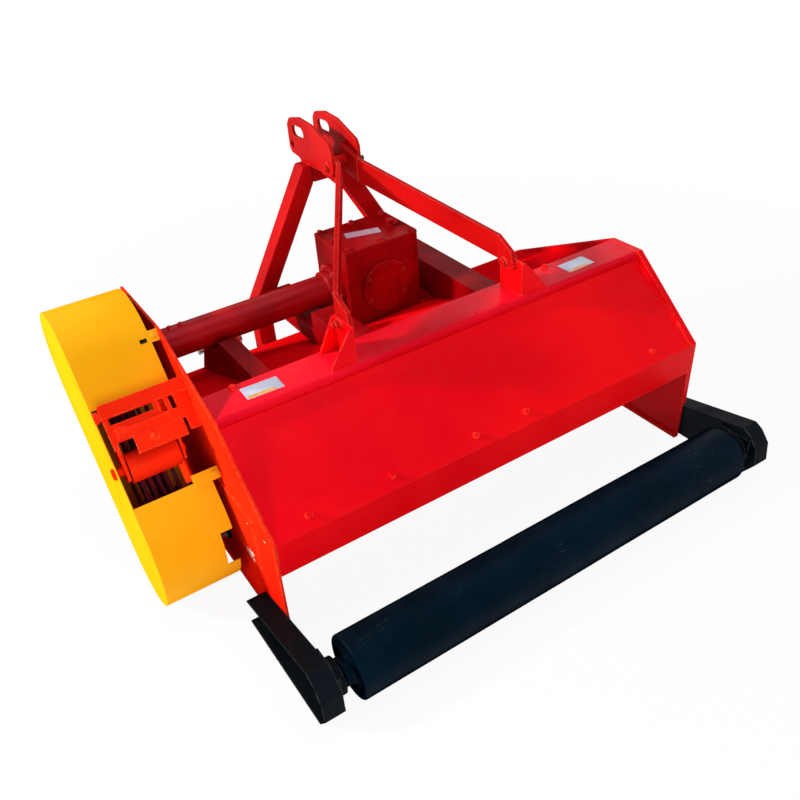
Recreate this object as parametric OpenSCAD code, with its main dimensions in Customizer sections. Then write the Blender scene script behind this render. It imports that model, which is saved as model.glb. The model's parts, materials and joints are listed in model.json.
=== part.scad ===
// Mounted straw crusher: hood, flail rotor, side belt drive, rear roller and hitch.
// Machine axes: X to the right seen from behind, Y forward to the tractor, Z up from the ground.
// Inside the modules X = 0 is the centre plane and Y = 0 the rear corner of the side plates.

/* [Side plates] */
// Width over the two side plates
frame_w = 1520; // [1300:10:1900]
// Side plate thickness
plate_t = 8; // [6:1:12]
// Height of the ledge where the rear slope meets the skirt
ledge_z = 376; // [340:1:420]
// Height of the top strip
strip_z = 613; // [580:1:660]
// Rear edge of the top strip
strip_y = 265; // [240:1:300]
// Front to back width of the top strip
strip_d = 127; // [100:1:160]
// Rise of the left plate over the drive shaft
left_rise = 143; // [100:1:180]
// Flange turned outward around the right plate
edge_w = 14; // [8:1:24]
// Forward end of the flat underside
skid_y = 880; // [820:1:920]
// Height of the raised front corner of the plates
nose_z = 110; // [60:1:150]
// Width of the skid bars
skid_w = 20; // [16:1:80]
// Thickness of the skid bars
skid_t = 8; // [6:1:16]

/* [Hood] */
// Hood sheet thickness
sheet_t = 5; // [3:1:8]
// Height of the vertical rear skirt
skirt_h = 106; // [80:1:140]
// Depth of the folded lips of the top strip
lip_h = 30; // [15:1:45]
// Drop from the top strip to the front hood
front_drop = 38; // [10:1:60]
// Fall of the front hood for each millimetre forward
front_fall = 0.375; // [0.34:0.005:0.42]

/* [Front beam and rails] */
// Section of the square front cross beam
beam_s = 80; // [60:5:100]
// Height of the top of the cross beam
beam_z = 340; // [300:5:360]
// Distance of the rail centres from the middle
rail_x = 235; // [190:1:280]
// Rail width
rail_w = 90; // [60:1:110]
// Height of the rail tops
rail_z = 600; // [590:1:610]
// Rail height
rail_h = 110; // [100:1:112]
// Distance of the tube stand from the frame's side
stand_in = 206; // [150:1:260]
// Width of the tube stand
stand_w = 55; // [40:1:70]

/* [Gearbox] */
// Gearbox width
gear_w = 268; // [220:1:320]
// Gearbox rear face
gear_y = 638; // [600:1:660]
// Gearbox depth
gear_d = 202; // [160:1:240]
// Height of the gearbox top
gear_top = 750; // [720:1:780]
// Radius of the round rear cover
gear_cover_r = 87; // [60:1:100]
// Width of the foot flange on each side of the gearbox
gear_foot = 40; // [20:1:50]

/* [Mast] */
// Side of the square mast legs
leg_s = 60; // [40:1:70]
// Forward position of the mast legs
leg_y = 1000; // [980:1:1040]
// Distance of the leg feet from the middle
foot_x = 300; // [280:1:340]
// Height of the bend in the legs
bend_z = 490; // [460:1:520]
// Height of the top of the mast head
mast_z = 922; // [880:1:960]
// Half width over the tops of the legs
top_x = 80; // [70:1:100]
// Gap between the clevis plates
clevis_gap = 84; // [60:1:90]
// Clevis plate thickness
clevis_t = 12; // [8:1:16]
// Height of the top link hole
link_z = 966; // [950:1:990]
// Top link hole radius
link_hole_r = 12.9; // [12.7:0.1:16.5]
// Height of the long slot
slot_z = 1017; // [1005:1:1025]
// Slot radius
slot_r = 19; // [14:0.5:22]

/* [Stays] */
// Height of the stay bars
stay_h = 76; // [50:1:90]
// Stay bar thickness
stay_t = 14; // [8:1:16]
// Top of the stay bars at the brackets
stay_low_z = 785; // [760:1:800]
// Top of the stay bars at the clevis plates
stay_high_z = 968; // [960:1:990]
// Distance of the left bracket's web from the middle
left_web_x = 322; // [290:1:340]
// Distance of the right bracket's web from the middle
right_web_x = 266; // [250:1:340]
// Height of the stay brackets
bracket_h = 110; // [80:1:140]
// Thickness of the bracket webs
web_t = 8; // [6:1:12]

/* [Lower hitch] */
// Distance of the hitch pin shoulders from the middle
hitch_x = 400; // [340:1:412]
// Lower hitch pin radius
hitch_pin_r = 14; // [11:0.5:18]
// Height of the lower hitch pins
hitch_z = 340; // [320:1:350]
// Distance of the lower hitch pins ahead of the front beam
hitch_out = 108; // [90:1:130]
// Reach of the lower hitch pins
hitch_l = 120; // [100:1:140]

/* [Rotor] */
// Rotor axis, forward
rotor_y = 415; // [400:1:440]
// Rotor axis, height
rotor_z = 220; // [210:1:240]
// Gap between the rotor and the side plates
rotor_gap = 58; // [50:1:70]
// Rotor tube radius
rotor_r = 76; // [60:1:90]
// Radius to the flail tips
tip_r = 186; // [170:1:200]
// Flails in each row
row_flails = 7; // [5:1:9]
// Rotor shaft radius
rotor_shaft_r = 25; // [20:1:30]

/* [Belt drive] */
// Shaft tube axis, forward
tube_y = 740; // [720:1:760]
// Shaft tube axis, height
tube_z = 600; // [580:1:620]
// Shaft tube radius
tube_r = 49; // [40:1:60]
// Drive pulley radius
drive_r = 140; // [110:1:160]
// Driven pulley radius
driven_r = 105; // [90:1:140]
// Number of belts
belt_n = 5; // [3:1:6]
// Belt spacing
belt_p = 22; // [19:0.5:26]
// Guard radius around each shaft
guard_r = 198; // [180:1:220]
// Guard sheet thickness
guard_t = 3; // [2:0.5:5]
// Space between the side plate and the guard
guard_gap = 25; // [14:1:35]
// Depth of the guard
guard_d = 220; // [200:1:240]
// Idler radius
idler_r = 42; // [30:1:48]
// Idler length
idler_l = 140; // [120:1:146]
// Idler place along the belts
idler_s = 188; // [170:1:220]
// Start of the guard's opening along the belts
cut_s0 = 82; // [70:1:120]
// End of the guard's opening along the belts
cut_s1 = 360; // [340:1:380]

/* [Rear roller] */
// Chamfer on the roller's end edges
roller_edge = 6; // [2:1:12]
// Roller radius
roller_r = 90; // [70:1:110]
// Gap between the roller and the side plates
roller_gap = 59; // [50:1:100]
// Roller axis behind the ledge
roller_y = -213; // [-240:1:-190]
// Roller stub radius
stub_r = 20; // [16:1:28]
// Arm plate thickness
arm_t = 8; // [6:1:12]
// Arm flange width
arm_w = 52; // [30:1:60]
// Forward end of the arms
arm_y = 140; // [100:1:200]
// Height of the arms at the forward end
arm_z = 101; // [90:1:140]

/* [Hidden] */
$fn = 48;
// Radial clearance of a shaft in its bearing, and the space where a curved face is seated
fit = 0.05;
seat = 0.3;
// Frame
half = frame_w / 2;
inner = half - plate_t;
strip_y1 = strip_y + strip_d;
lip_z = strip_z - lip_h;
stand_x = half - stand_in;
hood_z = strip_z - front_drop;
leg_y0 = leg_y - leg_s / 2;
leg_y1 = leg_y + leg_s / 2;
beam_y1 = leg_y0;
beam_y0 = beam_y1 - beam_s;
foot_y = 5;
nose_y = skid_y + 80;
// Mast and hitch
head_z = mast_z - leg_s;
lean_out = (foot_x + leg_s / 2 - top_x) / (mast_z - bend_z);
leg_wide = leg_s * sqrt(1 + lean_out * lean_out);
head_x = top_x + leg_s * lean_out - leg_wide;
hitch_y = beam_y1 + hitch_out;
front_y = hitch_y + 36;
stay_y0 = strip_y + 110;
clevis_y = leg_y0 - 156;
stay_y1 = clevis_y - 8;
collar = 8;
pto_r = 17.5;
pto_l = 70;
lid_t = 10;
patch_t = 5;
// Belt drive
guard_x0 = -half - guard_gap;
guard_x1 = guard_x0 - guard_d;
run = sqrt(pow(tube_y - rotor_y, 2) + pow(tube_z - rotor_z, 2));
lean = atan2(tube_z - rotor_z, tube_y - rotor_y);
pulley_w = belt_n * belt_p + 8;
pulley_x = -half - 82 - pulley_w;
belt_tilt = asin((drive_r - driven_r) / run);
belt_up = 1;
belt_deep = 9;
groove_deep = 13;
arc_n = 36;
idler_n = (driven_r + belt_up + idler_r + seat + idler_s * sin(belt_tilt)) / cos(belt_tilt);
idler_x = pulley_x + pulley_w / 2 - idler_l / 2;
pin_r = 12;
nut_r = 16;
nut_t = 8;
arm_plate = 8;
swing_s = 336;
swing_n = guard_r + 18;
rack_n = swing_n + 18;
rack_x = guard_x1 + 14;
rack_t = 8;
tab_s0 = 70;
tab_s1 = 481;
// Rotor
rotor_x = half - rotor_gap;
bearing_r = 58;
bearing_s = 144;
lug_h = 44;
flail_pin = rotor_r + 26;
// Rear roller
roller_z = roller_r;
roller_x = half - roller_gap;
hub_l = 24;
hub_r = 40;
arm_low = 12;
arm_high = 88;
arm_rise = (roller_z + arm_high - arm_z) / (arm_y - roller_y + 22);
arm_x1 = half + arm_t + arm_w;
// The origin is the middle of the whole machine's box, on the ground
mid_x = (arm_x1 + guard_x1 - nut_t) / 2;
mid_y = (front_y + roller_y - roller_r) / 2;
red = [0.80, 0.06, 0.05];
yellow = [0.96, 0.72, 0.08];
black = [0.05, 0.06, 0.08];
steel = [0.55, 0.56, 0.58];
rubber = [0.04, 0.04, 0.04];

// Height of the top of the front hood at a forward position
function hood_at(y) = hood_z - front_fall * (y - strip_y1);

// Moves a sub-part from the machine's own axes to the origin
module at_origin() {
    translate([-mid_x, -mid_y, 0]) children();
}

// The same piece on both sides
module both() {
    children();
    mirror([1, 0, 0]) children();
}

// A plate standing front to back, drawn as forward and height
module side_plate(x0, t, pts) {
    translate([x0, 0, 0]) rotate([90, 0, 90]) linear_extrude(t) polygon(pts);
}

// A plate standing across, drawn as sideways and height
module cross_plate(y0, t, pts) {
    translate([0, y0 + t, 0]) rotate([90, 0, 0]) linear_extrude(t) polygon(pts);
}

// A round bar across the machine
module rod_x(x0, l, r, y, z) {
    translate([x0, y, z]) rotate([0, 90, 0]) cylinder(h = l, r = r);
}

// A round bar front to back
module rod_y(y0, l, r, x, z) {
    translate([x, y0, z]) rotate([-90, 0, 0]) cylinder(h = l, r = r);
}

// Places a piece on the line from the rotor to the drive shaft: Y along it, Z square to it
module on_run() {
    translate([0, rotor_y, rotor_z]) rotate([lean, 0, 0]) children();
}

// Points on an arc of radius r whose middle lies at m along the run
function arc(m, r, a0, a1) = [for (i = [0 : arc_n]) [m + r * cos(a0 + (a1 - a0) * i / arc_n),
    r * sin(a0 + (a1 - a0) * i / arc_n)]];

// The line around a circle of radius a at the rotor and one of radius b at the drive shaft
function loop(a, b) = let(t = asin((b - a) / run))
    concat(arc(0, a, 90 + t, 270 - t), arc(run, b, -90 - t, 90 + t));

// A solid bounded by that line
module track(x0, t, a, b) {
    on_run() side_plate(x0, t, loop(a, b));
}

module rear_hood() {
    rise = (lip_z - ledge_z) / strip_y;
    slant = sheet_t * sqrt(1 + 1 / (rise * rise));
    color(red) side_plate(-inner, 2 * inner, [[0, ledge_z - skirt_h], [0, ledge_z],
        [strip_y, lip_z], [strip_y + slant, lip_z], [sheet_t, ledge_z - (slant - sheet_t) * rise],
        [sheet_t, ledge_z - skirt_h]]);
}

module top_strip() {
    low = hood_z - 8;
    color(red) side_plate(-inner, 2 * inner, [[strip_y, lip_z], [strip_y, strip_z],
        [strip_y1, strip_z], [strip_y1, low], [strip_y1 - sheet_t, low],
        [strip_y1 - sheet_t, strip_z - sheet_t], [strip_y + sheet_t, strip_z - sheet_t],
        [strip_y + sheet_t, lip_z]]);
}

module front_hood() {
    deep = sheet_t * sqrt(1 + front_fall * front_fall);
    back = beam_y0 - sheet_t;
    low = beam_z - 20;
    color(red) side_plate(-inner, 2 * inner, [[strip_y1, hood_z - deep], [strip_y1, hood_z],
        [beam_y0, hood_at(beam_y0)], [beam_y0, low], [back, low], [back, hood_at(back) - deep]]);
}

// Outline of a side plate between its rear top corner and its rear foot
function plate_front() = [[beam_y1, beam_z], [beam_y1, beam_z - beam_s - 10], [nose_y, nose_z],
    [skid_y, skid_t], [foot_y, skid_t]];

module left_side_plate() {
    top = tube_z + left_rise;
    color(red) difference() {
        union() {
            side_plate(-half, plate_t, concat([[0, ledge_z], [strip_y, strip_z],
                [tube_y - left_rise, top], [tube_y + left_rise + 25, top], [nose_y, tube_z - 40]],
                plate_front()));
            side_plate(-half - patch_t, patch_t, [[115, 205], [118, ledge_z + 4], [rotor_y - 80, ledge_z + 4],
                [rotor_y - 80, 205]]);
        }
        rod_x(-half - 1, plate_t + 2, 60, rotor_y, rotor_z);
        rod_x(-half - 1, plate_t + 2, rotor_shaft_r + 5, tube_y, tube_z);
    }
}

module right_side_plate() {
    edge = plate_t - 2;
    rise = atan2(strip_z - ledge_z, strip_y);
    toe = beam_y0;
    toe_z = hood_at(toe) + 3;
    fall = atan2(strip_z - toe_z, toe - strip_y1);
    foot_z = arm_z + arm_y * arm_rise + 10;
    color(red) difference() {
        union() {
            side_plate(inner, plate_t, concat([[0, ledge_z], [strip_y, strip_z],
                [strip_y1, strip_z], [toe, toe_z]], plate_front()));
            side_plate(half, edge_w, [[foot_y, foot_z], [0, ledge_z], [strip_y, strip_z],
                [strip_y1, strip_z], [toe, toe_z], [toe - edge * sin(fall), toe_z - edge * cos(fall)],
                [strip_y1 - edge * tan(fall / 2), strip_z - edge],
                [strip_y + edge * tan(rise / 2), strip_z - edge],
                [edge, ledge_z - edge * tan((90 - rise) / 2)], [foot_y + edge, foot_z]]);
        }
        rod_x(inner - 1, plate_t + 2, 60, rotor_y, rotor_z);
    }
}

module skid_bars() {
    color(red) both() side_plate(half - skid_w, skid_w, [[foot_y, 0], [foot_y, skid_t], [skid_y, skid_t],
        [nose_y, nose_z], [nose_y + 6, nose_z - 5], [skid_y + 4, 0]]);
}

module front_beam() {
    color(red) translate([-inner, beam_y0, beam_z - beam_s]) cube([2 * inner, beam_s, beam_s]);
}

module gearbox_rails() {
    low = rail_z - rail_h;
    toe = strip_y1 + (hood_z - low) / front_fall;
    step = tube_z - tube_r - 12;
    color(red) {
        side_plate(rail_x - rail_w / 2, rail_w, [[strip_y1, hood_z], [strip_y1, rail_z],
            [leg_y0, rail_z], [leg_y0, low], [toe, low]]);
        side_plate(-rail_x - rail_w / 2, rail_w, [[strip_y1, hood_z], [strip_y1, rail_z],
            [gear_y - 6, rail_z], [gear_y - 6, step], [leg_y0, step], [leg_y0, low], [toe, low]]);
    }
}

module gearbox_base() {
    wide = rail_x + rail_w / 2;
    base_t = 8;
    color(red) translate([-wide, gear_y + 4, rail_z - rail_h - base_t]) cube([2 * wide, gear_d + 20, base_t]);
}

module tube_stand() {
    top = tube_z - tube_r - seat;
    back = tube_y - tube_r - 7;
    foot = tube_y + 125;
    color(red) side_plate(-stand_x - stand_w / 2, stand_w, [[strip_y1, hood_z], [strip_y1, rail_z],
        [back - 34, rail_z], [back, top], [tube_y + tube_r, top], [foot, hood_at(foot)]]);
}

module gearbox_housing() {
    low = rail_z - rail_h;
    color(red) {
        translate([-gear_w / 2, gear_y, low]) cube([gear_w, gear_d, gear_top - low - lid_t]);
        translate([-gear_w / 2 - gear_foot, gear_y + 12, low]) cube([gear_w + 2 * gear_foot, gear_d - 24, 16]);
        both() for (y = [gear_y + 30, gear_y + gear_d - 42])
            foot_rib(gear_w / 2 - 1, y, 12, gear_foot - 4, low + 15, 45);
    }
}

// A three-cornered rib that stands across on the foot flange
module foot_rib(x0, y0, t, wide, z0, tall) {
    cross_plate(y0, t, [[x0, z0], [x0 + wide, z0], [x0, z0 + tall]]);
}

module gearbox_covers() {
    front = gear_y + gear_d;
    color(red) {
        translate([-gear_w / 2 - 3, gear_y - 3, gear_top - lid_t]) cube([gear_w + 6, gear_d + 6, lid_t]);
        rod_y(gear_y - 12, 12, gear_cover_r, 0, tube_z);
        rod_x(gear_w / 2, 12, 70, tube_y, tube_z);
        difference() {
            rod_y(front, 16, 75, 0, tube_z);
            rod_y(front - 1, 18, pto_r + fit, 0, tube_z);
        }
    }
}

module shaft_tube() {
    hub = gear_w / 2 + 14;
    color(red) difference() {
        union() {
            rod_x(-inner, inner - gear_w / 2, tube_r, tube_y, tube_z);
            rod_x(-hub, 14, tube_r + 23, tube_y, tube_z);
            rod_x(-hub - 26, 27, tube_r + 9, tube_y, tube_z);
            rod_x(-inner, 12, tube_r + 29, tube_y, tube_z);
        }
        rod_x(-inner - 1, 80, tube_r - 8, tube_y, tube_z);
    }
}

module mast_legs() {
    out_x = foot_x + leg_s / 2;
    in_x = foot_x - leg_s / 2;
    color(red) both() cross_plate(leg_y0, leg_s, [[in_x, beam_z - beam_s], [out_x, beam_z - beam_s],
        [out_x, bend_z], [top_x, mast_z], [head_x, mast_z], [head_x, head_z],
        [in_x, bend_z - (leg_wide - leg_s) / lean_out]]);
}

module mast_head() {
    color(red) translate([-head_x, leg_y0, head_z]) cube([2 * head_x, leg_s, leg_s]);
}

module clevis_plates() {
    back = clevis_y;
    tip = front_y - 12;
    low = mast_z + 8;
    slot_y = hitch_y - 48;
    half_slot = 21;
    color(red) both() difference() {
        side_plate(clevis_gap / 2, clevis_t, [[back, slot_z - 18], [back, mast_z + 12],
            [back + 12, mast_z], [leg_y1, mast_z], [leg_y1 + 8, low], [tip - 14, low + 6],
            [tip, low + 22], [tip - 1, slot_z + 13], [tip - 18, slot_z + 35],
            [hitch_y - 58, slot_z + 49], [leg_y0 - 34, slot_z + 43], [back + 12, slot_z + 4]]);
        rod_x(0, clevis_gap, link_hole_r, hitch_y, link_z);
        translate([0, slot_y - half_slot, slot_z - slot_r]) cube([clevis_gap, 2 * half_slot, 2 * slot_r]);
        for (y = [slot_y - half_slot, slot_y + half_slot]) rod_x(0, clevis_gap, slot_r, y, slot_z);
    }
}

// A flat stay from a bracket's web to the inner face of a clevis plate on the right
module stay(web_x) {
    bx = web_x - stay_t / 2;
    tx = clevis_gap / 2 - seat - stay_t / 2;
    length = sqrt(pow(bx - tx, 2) + pow(stay_y1 - stay_y0, 2));
    low = stay_low_z - stay_h;
    color(red) {
        translate([bx, stay_y0, 0]) rotate([0, 0, atan2(stay_y1 - stay_y0, tx - bx)]) rotate([90, 0, 0])
            translate([0, 0, -stay_t / 2]) linear_extrude(stay_t)
                polygon([[0, low], [0, stay_low_z], [length, stay_high_z], [length, stay_high_z - stay_h]]);
        side_plate(tx - stay_t / 2, stay_t, [[stay_y1 - 4, stay_high_z - stay_h], [stay_y1 - 4, stay_high_z],
            [leg_y0 - 66, stay_high_z + 26], [leg_y0 - 50, stay_high_z + 16],
            [leg_y0 - 50, stay_high_z - stay_h + 26], [leg_y0 - 60, stay_high_z - stay_h + 16]]);
        side_plate(bx - stay_t / 2, stay_t, [[stay_y0 + 2, low], [stay_y0 + 2, stay_low_z],
            [stay_y0 - 62, stay_low_z - 34], [stay_y0 - 74, low - 4], [stay_y0 - 60, low - 14],
            [stay_y0 - 8, low - 14]]);
    }
}

module stay_bars() {
    color(red) {
        stay(right_web_x);
        mirror([1, 0, 0]) stay(left_web_x);
        rod_x(-clevis_gap / 2 + stay_t, clevis_gap - 2 * stay_t, 14, leg_y0 - 90, stay_high_z - 18);
    }
}

// A web between two gussets, on the right; the gussets reach out by wide
module stay_bracket(x0, wide) {
    top = strip_z + bracket_h;
    y0 = strip_y + 16;
    y1 = strip_y1 - 18;
    color(red) {
        side_plate(x0, web_t, [[y0, strip_z], [y1, strip_z], [y1, top], [y0, top]]);
        cross_plate(y0 - 6, 6, [[x0, strip_z], [x0 + wide, strip_z], [x0 + wide - 5, strip_z + 12],
            [x0 + web_t + 6, top - 4], [x0, top - 4]]);
        cross_plate(y1, 6, [[x0, strip_z], [x0 + wide - 20, strip_z], [x0 + wide - 25, strip_z + 12],
            [x0 + web_t + 4, top - 4], [x0, top - 4]]);
    }
}

module stay_brackets() {
    stay_bracket(right_web_x, 100);
    mirror([1, 0, 0]) stay_bracket(left_web_x, 84);
}

module hitch_brackets() {
    side = 16;
    color(red) both() difference() {
        side_plate(hitch_x - side, side, [[beam_y1, beam_z - beam_s], [beam_y1, beam_z],
            [front_y - 14, hitch_z + 36], [front_y, hitch_z + 22], [front_y, hitch_z - 22],
            [front_y - 14, hitch_z - 36]]);
        rod_x(hitch_x - side - 1, side + 2, hitch_pin_r + fit, hitch_y, hitch_z);
    }
}

module hitch_pins() {
    color(steel) both() {
        rod_x(hitch_x - 26, 26 + collar + hitch_l, hitch_pin_r, hitch_y, hitch_z);
        rod_x(hitch_x - 34, 18, hitch_pin_r + 8, hitch_y, hitch_z);
        rod_x(hitch_x, collar, hitch_pin_r + 8, hitch_y, hitch_z);
    }
}

module belt_guard() {
    deep = guard_r - guard_t;
    color(yellow) difference() {
        track(guard_x1, guard_d, guard_r, guard_r);
        track(guard_x1 + guard_t, guard_d, deep, deep);
        on_run() {
            translate([guard_x1 + guard_t, cut_s0, deep - 60]) cube([guard_d, cut_s1 - cut_s0, 80]);
            translate([guard_x0 - 30, tab_s1 + 4, deep - 1]) cube([20, 12, guard_t + 2]);
            rod_x(guard_x1 - 1, guard_t + 2, pin_r + 1, idler_s, idler_n);
        }
        translate([guard_x0 - 36, rotor_y - guard_r - 1, rotor_z - 45]) cube([40, 40, 112]);
    }
}

module guard_tabs() {
    color(yellow) on_run() {
        for (s = [tab_s0, tab_s1]) {
            translate([guard_x0, s, -guard_r]) cube([guard_gap, 34, 4]);
            translate([guard_x0, s, guard_r - 4]) cube([guard_gap, 34, 4]);
        }
        translate([guard_x0 - 50, tab_s0, guard_r]) cube([50 + guard_gap, 34, 4]);
    }
}

module drive_belts() {
    color(rubber) for (i = [0 : belt_n - 1]) {
        x = pulley_x + 4 + (i + 0.5) * belt_p - 5.5;
        difference() {
            track(x, 11, driven_r + belt_up, drive_r + belt_up);
            track(x - 1, 13, driven_r - belt_deep, drive_r - belt_deep);
        }
    }
}

module tensioner_frame() {
    wide = -half - rack_x;
    side = 30;
    bar_s = cut_s1 - 38;
    bar_t = 18;
    mid_s = idler_s + 66;
    mid_w = 32;
    post_l = 18;
    post_x = [133, 165, 190];
    tube_edge = 18;
    hook_in = 54;
    hook_x = rack_x + hook_in;
    hook_w = 136;
    hook_s = idler_s + 26;
    hook_l = 46;
    color(red) on_run() {
        rod_x(guard_x1 + nut_t, guard_d + guard_gap - nut_t, pin_r, swing_s, swing_n);
        rod_x(guard_x1, nut_t + 1, nut_r, swing_s, swing_n);
        translate([rack_x, bar_s, rack_n]) cube([wide, cut_s1 - bar_s, bar_t]);
        translate([-half - side, hook_s + 3, rack_n]) cube([side, cut_s1 - hook_s - 3, rack_t]);
        translate([rack_x + 8, mid_s, rack_n]) cube([wide - 8, mid_w, rack_t]);
        translate([rack_x + 8, mid_s + mid_w - 1, rack_n]) cube([post_x[0] - 8, post_l, rack_t]);
        rod_x(idler_x, idler_l, tube_edge, mid_s + tube_edge, rack_n + 2);
        translate([rack_x, mid_s - 16, rack_n]) cube([12, cut_s1 - mid_s + 16, rack_t]);
        for (x = post_x) translate([rack_x + x, mid_s + mid_w - 1, rack_n])
            cube([12, bar_s - mid_s - mid_w + 2, rack_t]);
        translate([hook_x, hook_s, rack_n + rack_t]) cube([hook_w, hook_l, 6]);
        translate([hook_x, hook_s - 6, rack_n - 8]) cube([hook_w, 6, rack_t + 14]);
        translate([rack_x, bar_s + 2, swing_n]) cube([6, 28, rack_n - swing_n + 1]);
    }
}

module tensioner_arm() {
    low = idler_n - 24;
    high = swing_n + 17;
    color(red) on_run() {
        for (x = [idler_x - arm_plate - 4, idler_x + idler_l + 4]) difference() {
            side_plate(x, arm_plate, [[idler_s - 34, low], [idler_s - 34, idler_n + 26],
                [idler_s + 70, high], [swing_s + 16, high], [swing_s + 16, swing_n - 16],
                [idler_s + 34, low]]);
            rod_x(x - 1, arm_plate + 2, pin_r + fit, swing_s, swing_n);
            rod_x(x - 1, arm_plate + 2, pin_r + fit, idler_s, idler_n);
        }
    }
}

module idler_pin() {
    color(steel) on_run() {
        rod_x(guard_x1 - 1, idler_x + idler_l + 22 - guard_x1, pin_r, idler_s, idler_n);
        rod_x(guard_x1 - nut_t, nut_t, nut_r, idler_s, idler_n);
    }
}

module roller_arm() {
    y = roller_y;
    z = roller_z;
    color(black) difference() {
        side_plate(half, arm_t + arm_w, [[arm_y, arm_low], [arm_y, arm_z], [y - 22, z + arm_high], [y - 49, z + 73],
            [y - 80, z + 35], [y - 86, z - 28], [y - 49, arm_low]]);
        side_plate(half + arm_t, arm_w + 1, [[arm_y + 1, arm_low + arm_t], [arm_y + 1, arm_z - arm_t],
            [y - 20, z + 80], [y - 43, z + 67], [y - 72, z + 32], [y - 78, z - 26], [y - 45, arm_low + arm_t]]);
        rod_x(half - 1, arm_t + 2, stub_r + 2, y, z);
    }
}

module left_roller_arm() {
    mirror([1, 0, 0]) roller_arm();
}

module right_roller_arm() {
    roller_arm();
}

module roller_bearings() {
    x0 = roller_x + hub_l + 7;
    s = 2 * bearing_r;
    color(black) both() difference() {
        union() {
            rod_x(x0, half - x0, hub_r + 12, roller_y, roller_z);
            translate([half - 10, roller_y - s / 2, roller_z - s / 2]) cube([10, s, s]);
        }
        rod_x(x0 - 1, half - x0 + 2, stub_r + fit, roller_y, roller_z);
    }
}

// A square flange bearing standing out from x0
module flange_bearing(x0, y, z) {
    difference() {
        union() {
            translate([x0, y - bearing_s / 2, z - bearing_s / 2]) cube([14, bearing_s, bearing_s]);
            rod_x(x0, 46, bearing_r, y, z);
        }
        rod_x(x0 - 1, 48, rotor_shaft_r + fit, y, z);
    }
}

module rotor_bearings() {
    color(black) both() flange_bearing(half, rotor_y, rotor_z);
}

module drive_bearing() {
    color(black) mirror([1, 0, 0]) flange_bearing(half, tube_y, tube_z);
}

module rotor_tube() {
    color(black) {
        rod_x(-rotor_x, 2 * rotor_x, rotor_r, rotor_y, rotor_z);
        for (x = [-rotor_x, rotor_x - 12]) rod_x(x, 12, rotor_r + 30, rotor_y, rotor_z);
    }
}

// Repeats a piece at every flail place: four rows, each second row half a pitch along
module flail_places() {
    field = 2 * rotor_x - 104;
    pitch = field / row_flails;
    for (row = [0 : 3], i = [0 : row_flails - 1])
        translate([-field / 2 + (i + 0.25 + 0.5 * (row % 2)) * pitch, rotor_y, rotor_z])
            rotate([90 * row + 12 * i, 0, 0]) children();
}

module rotor_lugs() {
    lug_t = 12;
    color(black) flail_places() difference() {
        translate([-lug_t / 2, -24, rotor_r - 8]) cube([lug_t, 48, lug_h + 8]);
        rod_x(-lug_t, 2 * lug_t, rotor_r, 0, 0);
        rod_x(-lug_t, 2 * lug_t, 9, 0, flail_pin);
    }
}

module rotor_flails() {
    heel = flail_pin - 16;
    knee = tip_r - 34;
    color(steel) flail_places() {
        rod_x(-18, 36, 8, 0, flail_pin);
        both() cross_plate(-20, 40, [[7, heel], [15, heel], [15, knee], [46, tip_r - 12],
            [46, tip_r - 4], [40, tip_r - 5], [7, knee + 4]]);
    }
}

module rotor_shafts() {
    color(steel) {
        rod_x(rotor_x, half + 46 - rotor_x, rotor_shaft_r, rotor_y, rotor_z);
        rod_x(pulley_x - 8, -rotor_x - pulley_x + 8, rotor_shaft_r, rotor_y, rotor_z);
    }
}

// A grooved pulley of radius r around the X axis, starting at x0
module pulley(x0, r) {
    translate([x0, 0, 0]) rotate([0, 90, 0]) rotate_extrude() polygon(concat(
        [[rotor_shaft_r + fit, 0], [r, 0]],
        [for (i = [0 : belt_n - 1], k = [0 : 3]) [k == 0 || k == 3 ? r : r - groove_deep,
            4 + (i + 0.5) * belt_p + [-8, -6.5, 6.5, 8][k]]],
        [[r, pulley_w], [rotor_shaft_r + fit, pulley_w]]));
}

module driven_pulley() {
    color(black) translate([0, rotor_y, rotor_z]) pulley(pulley_x, driven_r);
}

module drive_pulley() {
    color(black) translate([0, tube_y, tube_z]) pulley(pulley_x, drive_r);
}

module drive_shaft() {
    out = 8;
    in = 60;
    color(steel) rod_x(pulley_x - out, -pulley_x + out - half + in, rotor_shaft_r, tube_y, tube_z);
}

module pto_shaft() {
    front = gear_y + gear_d + 16;
    color(steel) {
        rod_y(gear_y + gear_d + 0.5, 16 + pto_l + collar, pto_r, 0, tube_z);
        rod_y(front + 0.5, collar, pto_r + 8, 0, tube_z);
    }
}

module roller_drum() {
    l = roller_x;
    r = roller_r;
    e = roller_edge;
    color(black) {
        translate([0, roller_y, roller_z]) rotate([0, 90, 0]) rotate_extrude()
            polygon([[0, -l], [r - e, -l], [r, e - l], [r, l - e], [r - e, l], [0, l]]);
        both() rod_x(roller_x, hub_l, hub_r, roller_y, roller_z);
    }
}

module roller_stubs() {
    color(steel) both() rod_x(roller_x + hub_l, half - roller_x - hub_l + 20, stub_r, roller_y, roller_z);
}

module idler_roller() {
    color(red) on_run() difference() {
        rod_x(idler_x, idler_l, idler_r, idler_s, idler_n);
        rod_x(idler_x - 1, idler_l + 2, pin_r + fit, idler_s, idler_n);
    }
}

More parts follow.
